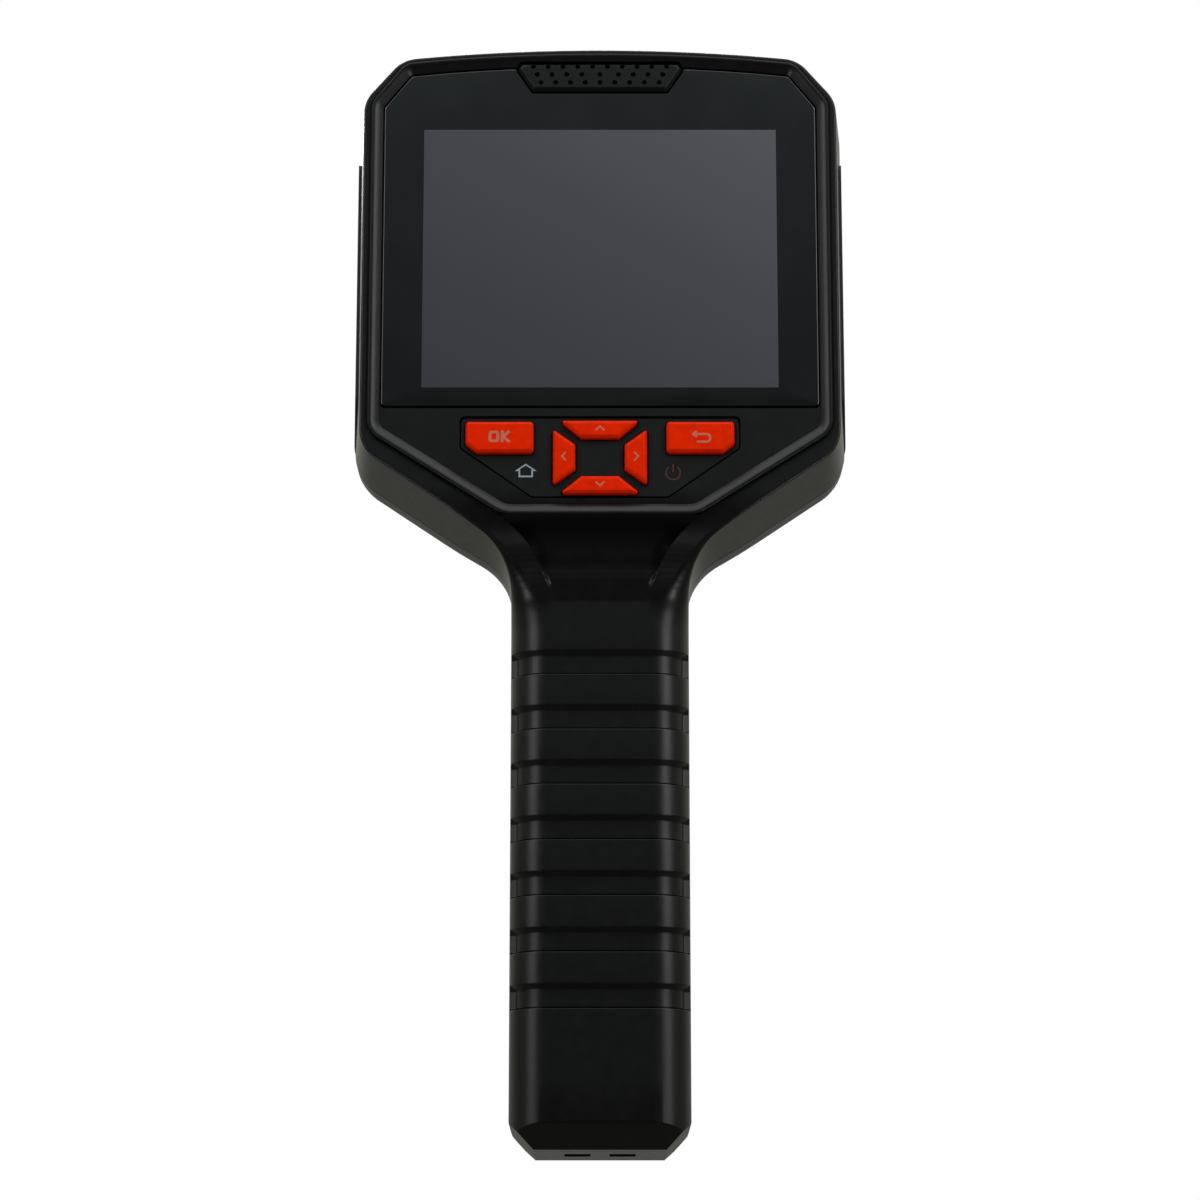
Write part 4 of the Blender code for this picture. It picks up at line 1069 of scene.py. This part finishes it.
def make_front_housing():
    shell = half_shell(
        "front_shell", 1, (PARTING_FRONT, flare), flare, front_level, front_edge,
        bowed=True, recess=front_recess, mat=SHELL,
    )
    trim_base(shell, 1)
    cavity = half_shell(
        "front_cavity", 1, (PARTING_FRONT - 1.0, flare), flare,
        inner_front_level, inner_front_edge, inset=WALL, bowed=True,
    )
    slice_off(cavity, (0, 0, CAVITY_FLOOR), (0, 0, -1))
    ears = [
        box("ear", (min(side * 7, side * 10), max(side * 7, side * 10)), (11.5, 25.0), (90.5, 99.6))
        for side in (-1, 1)
    ]
    cut(cavity, *screw_bores(BOSS_RADIUS, -20.0, 30.0), *ears)
    slot_x, slot_z = limits("trigger")[0], limits("trigger")[2]
    pin = limits("trigger_pin")
    pin_y, pin_z = (sum(pin[1]) / 2, sum(pin[2]) / 2)
    strap = (-2.6, 3.0)
    cut(
        shell,
        cavity,
        *screw_bores(SHANK_HOLE, -11.0, 1.0),
        *screw_bores(WELL_RADIUS, SCREW_SEAT, 30.0),
        *pad_recesses(),
        prism("plate_pocket", offset(FRONT_PLATE, GAP), PLATE_Y[0] - GAP, 40.0),
        cylinder("barrel_hole", "Y", (0.0, 25.0, LENS_Z), BARREL_RADIUS + GAP, 20.0, sides=96),
        *[cylinder("eye_hole", "Y", (x, 22.0, EYE_Z), EYE_RADIUS - 0.8, 12.0) for x in (-EYE_X, EYE_X)],
        box(
            "trigger_slot",
            (slot_x[0] - 0.4, slot_x[1] + 0.4), (9.0, 40.0), (slot_z[0] - 1.6, slot_z[1] + 1.6),
        ),
        cylinder("pin_hole", "X", (0.0, pin_y, pin_z), 1.35, 20.0),
        box("strap_slot_left", (-6.4, -1.7), strap, (-1.0, 5.0)),
        box("strap_slot_right", (1.7, 6.4), strap, (-1.0, 5.0)),
        box("strap_way", (-6.4, 6.4), strap, (3.4, 7.0)),
    )
    piece(weigh(shell), "body", "front_housing", slot="shell")


# ---- the screen side ----------------------------------------------------------------------------
VIEW_X = 32.4  # half width of the viewing area
VIEW_Z = (135.9, 185.4)


def make_window():
    """The cover glass: a black printed border around the viewing area, and a polished edge."""
    outline = mirrored(window_half(GAP))
    bm = bmesh.new()
    edge = 0.22
    rings = [(0.0, POCKET - GAP), (0.0, FASCIA + edge), (-edge * 0.3, FASCIA + edge * 0.3), (-edge, FASCIA)]
    loops = [
        [bm.verts.new((u, y, v)) for u, v in offset(outline, inset)] for inset, y in rings
    ]
    bm.faces.new(loops[0])
    bridge(bm, loops)
    view = [
        bm.verts.new((x, FASCIA, z))
        for x, z in (
            (-VIEW_X, VIEW_Z[0]), (VIEW_X, VIEW_Z[0]), (VIEW_X, VIEW_Z[1]), (-VIEW_X, VIEW_Z[1]),
        )
    ]
    screen = bm.faces.new(view)
    screen.material_index = 1
    rim = [bm.edges.get((loops[-1][i - 1], loops[-1][i])) for i in range(len(outline))]
    bmesh.ops.triangle_fill(bm, edges=rim + list(screen.edges), use_beauty=True)
    window = finish_mesh("cover_glass", bm, GLASS)
    window.data.materials.append(SCREEN)
    cut(window, prism("window_notch", smoothed(GRILLE, -GAP, GRILLE_CORNER), -30.0, -20.0))
    piece(weigh(window), "body", "display_window", slot="screen_glass")


def grille_holes():
    """Three staggered rows of sound holes; the middle row leaves a space beside its middle one."""
    top = [(2.74 * (i - 4.5), 197.5) for i in range(10)]
    middle = [(side * (3.4 + 2.74 * i), 195.95) for side in (-1, 1) for i in range(4)]
    low = [(2.73 * (i - 4), 194.4) for i in range(9)]
    return top + middle + [(0.0, 195.95)] + low


def make_grille():
    top = GRILLE_Y[0]
    profile = [
        (0.0, GRILLE_Y[1]), (0.0, top + 0.75), (0.05, top + 0.62), (0.5, top + 0.12),
        (0.6, top + 0.03), (0.75, top),
    ]
    rings = [(smoothed(GRILLE, inset, GRILLE_CORNER), y) for inset, y in profile]
    grille = stack("sound_grille", rings, SHELL)
    bm = bmesh.new()
    for x, z in grille_holes():
        place = Matrix.Translation((x, -26.0, z)) @ TURN["Y"]
        bmesh.ops.create_cone(
            bm, cap_ends=True, segments=16, radius1=0.46, radius2=0.46, depth=6.0, matrix=place
        )
    cut(grille, finish_mesh("sound_holes", bm))
    piece(weigh(grille), "body", "speaker_grille", slot="shell")


def make_key_plate():
    outline = offset(KEYPAD, -GAP)
    face = KEY_PLATE_Y[0]
    plate = stack(
        "key_surround",
        [
            (outline, KEY_PLATE_Y[1]), (outline, face + 0.15),
            (offset(outline, -0.05), face + 0.04), (offset(outline, -0.16), face),
        ],
        INSERT,
    )
    cut(
        plate,
        *[
            prism("key_hole", smoothed(corners, -GAP, radius), -30.0, -20.0)
            for corners, radius in KEYS.values()
        ],
    )
    piece(weigh(plate), "body", "keypad_plate", slot="insert")


def make_keys():
    """The caps: a flanged foot under the shell, a sloping shoulder and a softly rounded top."""
    for name, (corners, radius) in KEYS.items():
        foot = limits(f"key_{name}")[1][1]
        profile = [
            (-KEY_FLANGE, foot), (-KEY_FLANGE, foot - 1.0), (0.0, foot - 1.001), (0.0, KEY_SHOULDER),
            (0.04, KEY_SHOULDER - 0.12), (0.12, KEY_SHOULDER - 0.2), (0.42, KEY_TOP + 0.10),
            (0.52, KEY_TOP + 0.03), (0.66, KEY_TOP),
        ]
        rings = [(smoothed(corners, inset, radius), y) for inset, y in profile]
        cap = stack(f"keycap_{name}", rings, ORANGE)
        piece(weigh(cap), f"key_{name}", f"key_{name}", slot="orange_key")


# ---- legends --------------------------------------------------------------------------------------
INLAY = 0.03  # how far a printed mark stands off its face


def strokes(name, chains, width, face, centre, mat):
    """Flat printed lines along chains of (u, v) points; a chain that ends where it starts is closed."""
    bm = bmesh.new()
    for order, chain in enumerate(chains):
        lift = INLAY * (1 + 0.1 * order)
        closed = chain[0] == chain[-1]
        points = [Vector(p) for p in (chain[:-1] if closed else chain)]
        count = len(points)
        sides = []
        for i, here in enumerate(points):
            before = here - points[i - 1] if closed or i > 0 else points[1] - here
            after = points[(i + 1) % count] - here if closed or i < count - 1 else before
            before, after = before.normalized(), after.normalized()
            normal = (Vector((-before.y, before.x)) + Vector((-after.y, after.x))).normalized()
            reach = width / 2 / max(0.4, normal.dot(Vector((-before.y, before.x))))
            pair = []
            for side in (-1, 1):
                spot = here + normal * reach * side
                pair.append(bm.verts.new((centre[0] + spot.x, face - lift, centre[1] + spot.y)))
            sides.append(pair)
        following = sides[1:] + (sides[:1] if closed else [])
        for (a, b), (c, d) in zip(sides, following):
            bm.faces.new((a, c, d, b))
    bmesh.ops.recalc_face_normals(bm, faces=bm.faces)
    flat = bmesh.ops.extrude_face_region(bm, geom=list(bm.faces))
    moved = [v for v in flat["geom"] if isinstance(v, bmesh.types.BMVert)]
    bmesh.ops.translate(bm, vec=(0.0, 2 * INLAY, 0.0), verts=moved)
    return finish_mesh(name, bm, mat)


def arc(radius, start, end, steps=14, centre=(0.0, 0.0)):
    """Points on an arc between two angles in degrees."""
    points = []
    for k in range(steps + 1):
        angle = math.radians(start + (end - start) * k / steps)
        points.append((centre[0] + radius * math.cos(angle), centre[1] + radius * math.sin(angle)))
    return points


def make_legends():
    """Marks that only say what a key does: a function word, arrows, a house and a power sign."""
    letter = rounded(
        [
            (-1.2, 0.82, 0.0), (-0.35, 0.82, 0.3), (-0.35, -0.82, 0.3), (-1.75, -0.82, 0.3),
            (-1.75, 0.82, 0.3), (-1.2, 0.82, 0.0),
        ],
        steps=3,
    )
    ok = [
        letter[:-1] + [letter[0]],
        [(0.45, 1.08), (0.45, -1.08)],
        [(1.75, 1.02), (0.6, -0.05), (1.75, -1.02)],
    ]
    ok_x, _, ok_z = limits("key_ok")
    back_x, _, back_z = limits("key_back")
    ok_centre = (sum(ok_x) / 2 + 0.05, sum(ok_z) / 2)
    back_centre = (sum(back_x) / 2 + 0.1, sum(back_z) / 2)
    hook = [(-1.3, 0.45), (0.9, 0.45), *arc(0.72, 80, -80, centre=(0.95, -0.28)), (0.9, -1.0), (-0.8, -1.0)]
    head = [(-0.75, 1.0), (-1.4, 0.45), (-0.75, -0.1)]
    chevron = [(-0.8, -0.35), (0.0, 0.4), (0.8, -0.35)]
    piece(strokes("mark_ok", ok, 0.52, KEY_TOP, ok_centre, LEGEND), "key_ok", slot="orange_key")
    back = strokes("mark_back", [hook, head], 0.4, KEY_TOP, back_centre, LEGEND)
    piece(back, "key_back", slot="orange_key")
    arrows = {
        "up": ([chevron], (0.0, 127.9)),
        "down": ([[(u, -v) for u, v in chevron]], (0.0, 117.6)),
        "left": ([[(-v, u) for u, v in chevron]], (-6.5, KEY_MIDDLE_Z)),
        "right": ([[(v, u) for u, v in chevron]], (6.5, KEY_MIDDLE_Z)),
    }
    for name, (chains, centre) in arrows.items():
        mark = strokes(f"mark_{name}", chains, 0.32, KEY_TOP, centre, LEGEND)
        piece(mark, f"key_{name}", slot="orange_key")
    house = [
        (-1.15, 0.1), (-1.6, 0.1), (0.0, 1.15), (1.6, 0.1), (1.15, 0.1), (1.15, -1.05), (-1.15, -1.05),
        (-1.15, 0.1),
    ]
    face = KEY_PLATE_Y[0]
    piece(strokes("mark_home", [house], 0.3, face, (-13.4, 120.35), HOME_PRINT), "body", slot="insert")
    power = [arc(1.3, 125, 415, 24), [(0.0, 1.6), (0.0, 0.1)]]
    piece(strokes("mark_power", power, 0.26, face, (13.2, 120.0), POWER_PRINT), "body", slot="insert")


# ---- the lens side --------------------------------------------------------------------------------
def make_front_plate():
    face = PLATE_Y[1]
    plate = stack(
        "lens_plate",
        [(FRONT_PLATE, PLATE_Y[0]), (FRONT_PLATE, face - 0.6)]
        + [
            (offset(FRONT_PLATE, inset), y)
            for inset, y in ((-0.1, face - 0.3), (-0.3, face - 0.1), (-0.6, face))
        ],
        INSERT,
    )
    grooves = [
        turned(
            "plate_groove", "Y", (0.0, 0.0, LENS_Z),
            [
                (radius, face - 0.5), (radius + 0.7, face - 0.5),
                (radius + 0.9, face + 1), (radius - 0.2, face + 1),
            ],
        )
        for radius in (22.4, 25.0)
    ]
    cut(
        plate,
        cylinder("plate_bore", "Y", (0.0, 25.0, LENS_Z), BARREL_RADIUS + GAP, 20.0, sides=128),
        *[cylinder("plate_eye", "Y", (x, 25.0, EYE_Z), EYE_RADIUS + GAP, 20.0) for x in (-EYE_X, EYE_X)],
        *grooves,
    )
    piece(weigh(plate), "body", "front_plate", slot="insert")


def make_barrel():
    """The lens tube, with finger ribs round its waist and stray-light rings inside."""
    baffles = []
    for k in range(5):
        y = 53.0 + k * 1.6
        flare_out = k * 0.18
        baffles += [
            (16.1 + flare_out, y), (15.5 + flare_out, y + 0.4),
            (15.5 + flare_out, y + 0.9), (16.3 + flare_out, y + 1.3),
        ]
    outer = [
        (17.4, LENS_MOUTH - 0.25), (17.8, LENS_MOUTH), (18.6, LENS_MOUTH), (18.9, LENS_MOUTH - 0.2),
        (19.0, LENS_MOUTH - 0.6), (19.0, 50.2), (19.2, 49.9), (19.9, 49.3), (20.0, 49.0),
    ]
    waist = []
    for k in range(9):
        y = 46.5 - 1.9 * k
        waist += [(20.0, y), (20.0, y - 0.55), (19.45, y - 0.75), (19.45, y - 1.35), (20.0, y - 1.55)]
    foot = [
        (20.0, 22.1), (23.0, 22.1), (23.0, BARREL_Y[0]), (12.0, BARREL_Y[0]),
        (12.0, 40.0), (15.8, 40.0), (15.8, 52.0),
    ]
    tube = turned("lens_tube", "Y", (0.0, 0.0, LENS_Z), outer + waist + foot + baffles, SHELL)
    piece(tube, "body", "lens_barrel", slot="shell")


def make_bumper():
    """The rubber ring round the mouth, with flutes for a grip."""
    def flute(angle, radius, height):
        if radius < 21.0 or not BUMPER_Y[0] + 1.2 < height < BUMPER_Y[1] - 1.2:
            return radius
        return radius - 0.55 * max(0.0, math.cos(angle * 36)) ** 0.7

    low, high = BUMPER_Y
    outer = BUMPER_X[1]
    profile = [
        (19.8, high), (20.6, high), (21.0, high - 0.3), (outer, high - 0.8), (outer, high - 1.19),
        (outer, high - 1.7), (outer, low + 1.7), (outer, low + 1.19), (outer, low + 0.8), (21.0, low + 0.3),
        (20.6, low), (19.3, low), (19.3, high - 0.6),
    ]
    ring = turned("mouth_ring", "Y", (0.0, 0.0, LENS_Z), profile, RUBBER, sides=432, teeth=flute)
    piece(ring, "body", "lens_bumper", slot="rubber")


def make_lens():
    """The coated germanium element and the threaded ring that holds it."""
    dome = [(15.4 * k / 14, 47.0 - 3.2 * (k / 14) ** 2) for k in range(15)]
    lens = turned("germanium_element", "Y", (0.0, 0.0, LENS_Z), dome + [(15.4, 40.3), (0.0, 40.3)], GERMANIUM)
    piece(lens, "body", "germanium_lens", slot="germanium")
    ring = [
        (13.6, 46.1), (13.8, 46.5), (14.1, 46.6), (14.5, 46.6), (14.6, 46.3), (14.9, 46.3), (15.0, 46.6),
        (15.4, 46.6), (15.4, 45.0), (13.6, 45.4),
    ]
    retainer = turned("retaining_ring", "Y", (0.0, 0.0, LENS_Z), ring, ALUMINIUM)
    notches = [box("notch", (-16, 16), (46.0, 48.0), (LENS_Z - 0.7, LENS_Z + 0.7))]
    piece(cut(retainer, *notches), "body", "lens_ring", slot="aluminium")


def make_eyes():
    """The visible camera and the lamp: domed windows in bevelled rims."""
    low, high = EYE_LIMITS[1]
    for name, x, node in (("camera_glass", -EYE_X, "camera_window"), ("lamp_glass", EYE_X, "lamp_lens")):
        r = EYE_RADIUS
        rim = [
            (r - 0.9, high - 0.35), (r - 0.7, high - 0.05), (r - 0.25, high),
            (r, high - 0.25), (r, low), (r - 0.9, low),
        ]
        frame_ring = turned(f"{name}_rim", "Y", (x, 0.0, EYE_Z), rim, SHELL, sides=64)
        piece(frame_ring, "body", node, slot="shell")
        dome = [((r - 0.9) * k / 8, high - 0.2 - 0.35 * (k / 8) ** 2) for k in range(9)]
        glass = turned(name, "Y", (x, 0.0, EYE_Z), dome + [(r - 0.9, low), (0.0, low)], CLEAR, sides=64)
        piece(glass, "body", node, slot="clear_lens")


# ---- trigger --------------------------------------------------------------------------------------
def make_trigger():
    """The trigger: a curved blade with rounded sides and three grip lines."""
    x, _, z = limits("trigger")
    pin = limits("trigger_pin")
    pivot_y, pivot_z = sum(pin[1]) / 2, sum(pin[2]) / 2
    profile = rounded(
        [
            (16.5, z[1], 0.0), (17.6, z[1], 1.5), (20.6, 91.0, 6.0), (25.6, 84.0, 6.0), (26.4, 76.0, 3.0),
            (24.6, z[0], 1.5), (19.6, z[0], 1.5), (15.6, 84.0, 4.0), (12.4, 91.0, 3.0), (12.4, z[1], 2.0),
            (16.5, z[1], 0.0),
        ],
        steps=8,
    )[:-1]
    rings = []
    edge, steps = 1.2, 5
    for k in range(steps + 1):
        angle = math.pi / 2 * k / steps
        rings.append((offset(profile, -edge * (1 - math.sin(angle))), x[0] + edge * (1 - math.cos(angle))))
    rings += [(outline, -at) for outline, at in reversed(rings)]
    blade = stack("trigger_blade", rings, SHELL, axis="X")
    lines = [
        cylinder("grip_line", "X", (0.0, y, at), 0.5, 9.0)
        for y, at in ((26.5, 81.5), (26.75, 79.2), (26.8, 76.9))
    ]
    cut(
        blade,
        cylinder("trigger_bore", "X", (0.0, pivot_y, pivot_z), 1.35, 20.0),
        cylinder("spring_room", "X", (4.7, pivot_y, pivot_z), 3.4, 4.6),
        *lines,
    )
    piece(weigh(blade), "trigger", "trigger", slot="shell")


# ---- side pads --------------------------------------------------------------------------------------
PAD_EDGE = 0.5
PAD_LINES = 7


def make_pads():
    """The two rubber pads: blocks with rounded edges that thin towards the screen, and grip lines."""
    inner, outer = PAD_X
    for name, side, body, node in (
        ("port_flap", 1, "port_cover", "port_cover"), ("left_pad", -1, "body", "side_pad_left"),
    ):
        rings = [(PAD_PROFILE, side * inner)]
        for inset, height in round_over(PAD_EDGE, PAD_EDGE, outer - PAD_EDGE, facing=1):
            rings.append((offset(PAD_PROFILE, inset), side * height))
        pad = stack(name, rings, RUBBER, axis="X")
        slope = [
            (side * (inner + 1.1), PAD_Y[0] - 1), (side * outer, -9.5),
            (side * (outer + 2), -9.5), (side * (outer + 2), PAD_Y[0] - 1),
        ]
        taper = stack("pad_taper", [(slope, 120.0), (slope, 190.0)], axis="Z")
        lines = [
            cylinder("pad_line", "Y", (side * (outer + 0.25), -4.0, 141.0 + 5.0 * k), 0.6, 7.0)
            for k in range(PAD_LINES)
        ]
        cut(pad, taper, *lines)
        piece(weigh(pad), body, node, slot="rubber")


# ---- the studio ---------------------------------------------------------------------------------
def make_floor():
    """A pale floor that shows only from above, since the camera looks from a little below it."""
    bm = bmesh.new()
    bmesh.ops.create_grid(bm, x_segments=2, y_segments=2, size=3000.0)
    floor = finish_mesh("floor", bm)
    surface = Surface("floor_paper", (0.80, 0.80, 0.79), 0.8)
    surface.vary_roughness(surface.noise(4.0, 3.0), 0.05)
    tree = surface.tree
    seen = tree.nodes.new("ShaderNodeNewGeometry").outputs["Backfacing"]
    clear = tree.nodes.new("ShaderNodeBsdfTransparent").outputs["BSDF"]
    mix = tree.nodes.new("ShaderNodeMixShader")
    tree.links.new(seen, mix.inputs["Fac"])
    tree.links.new(surface.shader.outputs["BSDF"], mix.inputs[1])
    tree.links.new(clear, mix.inputs[2])
    tree.links.new(mix.outputs["Shader"], tree.nodes["Material Output"].inputs["Surface"])
    floor.data.materials.append(surface.mat)
    floor.visible_diffuse = False
    floor.visible_glossy = False
    floor.visible_shadow = False


def make_world():
    """White to the camera; what the object mirrors is dim in front and bright behind."""
    world = bpy.data.worlds.new("studio")
    world.use_nodes = True
    bpy.context.scene.world = world
    tree = world.node_tree
    tree.nodes.clear()

    def ramp(value, stops, tint=(1.0, 1.0, 1.0)):
        node = tree.nodes.new("ShaderNodeValToRGB")
        while len(node.color_ramp.elements) < len(stops):
            node.color_ramp.elements.new(0.5)
        for element, (position, level) in zip(node.color_ramp.elements, stops):
            element.position = position
            element.color = (*(level * part for part in tint), 1.0)
        tree.links.new(value, node.inputs["Fac"])
        return node.outputs["Color"]

    def half(value):
        """-1..1 to 0..1."""
        node = tree.nodes.new("ShaderNodeMapRange")
        node.inputs["From Min"].default_value = -1.0
        tree.links.new(value, node.inputs["Value"])
        return node.outputs["Result"]

    split = tree.nodes.new("ShaderNodeSeparateXYZ")
    coords = tree.nodes.new("ShaderNodeTexCoord").outputs["Generated"]
    tree.links.new(coords, split.inputs["Vector"])
    up = half(split.outputs["Z"])
    front = ramp(
        up,
        [(0.30, 0.0), (0.54, 0.008), (0.565, 0.02), (0.61, 0.05), (0.66, 0.13), (0.70, 0.28), (0.80, 0.45)],
        (0.86, 1.0, 1.03),
    )
    behind = ramp(
        up,
        [(0.0, 0.07), (0.36, 0.30), (0.41, 0.30), (0.45, 0.22), (0.50, 0.30), (0.60, 0.56), (1.0, 0.8)],
        (1.0, 1.0, 0.90),
    )
    share = ramp(half(split.outputs["Y"]), [(0.12, 0.0), (0.30, 0.4), (0.6, 0.55), (0.8, 1.0)])
    mix = tree.nodes.new("ShaderNodeMix")
    mix.data_type = "RGBA"
    tree.links.new(share, mix.inputs["Factor"])
    tree.links.new(front, mix.inputs[6])
    tree.links.new(behind, mix.inputs[7])
    mirrored_light = tree.nodes.new("ShaderNodeBackground")
    tree.links.new(mix.outputs[2], mirrored_light.inputs["Color"])
    seen = tree.nodes.new("ShaderNodeBackground")
    seen.inputs["Color"].default_value = (1.0, 1.0, 1.0, 1.0)
    choose = tree.nodes.new("ShaderNodeMixShader")
    camera_ray = tree.nodes.new("ShaderNodeLightPath").outputs["Is Camera Ray"]
    tree.links.new(camera_ray, choose.inputs["Fac"])
    tree.links.new(mirrored_light.outputs["Background"], choose.inputs[1])
    tree.links.new(seen.outputs["Background"], choose.inputs[2])
    output = tree.nodes.new("ShaderNodeOutputWorld")
    tree.links.new(choose.outputs["Shader"], output.inputs["Surface"])


def soft_light(name, azimuth, elevation, distance, size, watts, tint=(1.0, 1.0, 1.0)):
    """A softbox round the head; azimuth 0 is the screen side and 90 the right."""
    light = bpy.data.lights.new(name, "AREA")
    light.shape = "RECTANGLE"
    light.size, light.size_y = size
    light.energy = watts
    light.color = tint
    obj = bpy.data.objects.new(name, light)
    bpy.context.scene.collection.objects.link(obj)
    a, e = math.radians(azimuth), math.radians(elevation)
    aim = Vector((0.0, 0.0, 0.11))
    away = Vector((math.sin(a) * math.cos(e), -math.cos(a) * math.cos(e), math.sin(e)))
    obj.location = aim + away * distance
    obj.rotation_euler = (-away).to_track_quat("-Z", "Y").to_euler()


def make_lights():
    soft_light("softbox_left", -44, 20, 1.2, (0.46, 0.9), 3.9)
    soft_light("softbox_right", 44, 20, 1.2, (0.46, 0.9), 4.9)
    soft_light("low_left", -46, -34, 1.2, (0.34, 0.30), 2.1)
    soft_light("low_right", 46, -34, 1.2, (0.34, 0.30), 2.6)
    soft_light("top_box", 0, 66, 1.2, (1.8, 1.1), 8)
    soft_light("back_box", 190, 35, 1.4, (0.8, 0.6), 16)


def make_camera():
    """A long lens a little below the grip, looking up at the screen."""
    data = bpy.data.cameras.new("camera")
    data.lens = 108.0
    data.sensor_width = 36.0
    camera = bpy.data.objects.new("camera", data)
    bpy.context.scene.collection.objects.link(camera)
    camera.location = (0.0, -0.6535, -0.0518)
    camera.rotation_euler = (math.radians(90.0 + 13.3), 0.0, 0.0)
    bpy.context.scene.camera = camera


finish_nodes()
make_rear_housing()
make_seam_lip()
make_front_housing()
make_window()
make_grille()
make_key_plate()
make_keys()
make_legends()
make_front_plate()
make_barrel()
make_bumper()
make_lens()
make_eyes()
make_trigger()
make_pads()
make_floor()
make_world()
make_lights()
make_camera()
bpy.context.scene.view_settings.view_transform = "Standard"
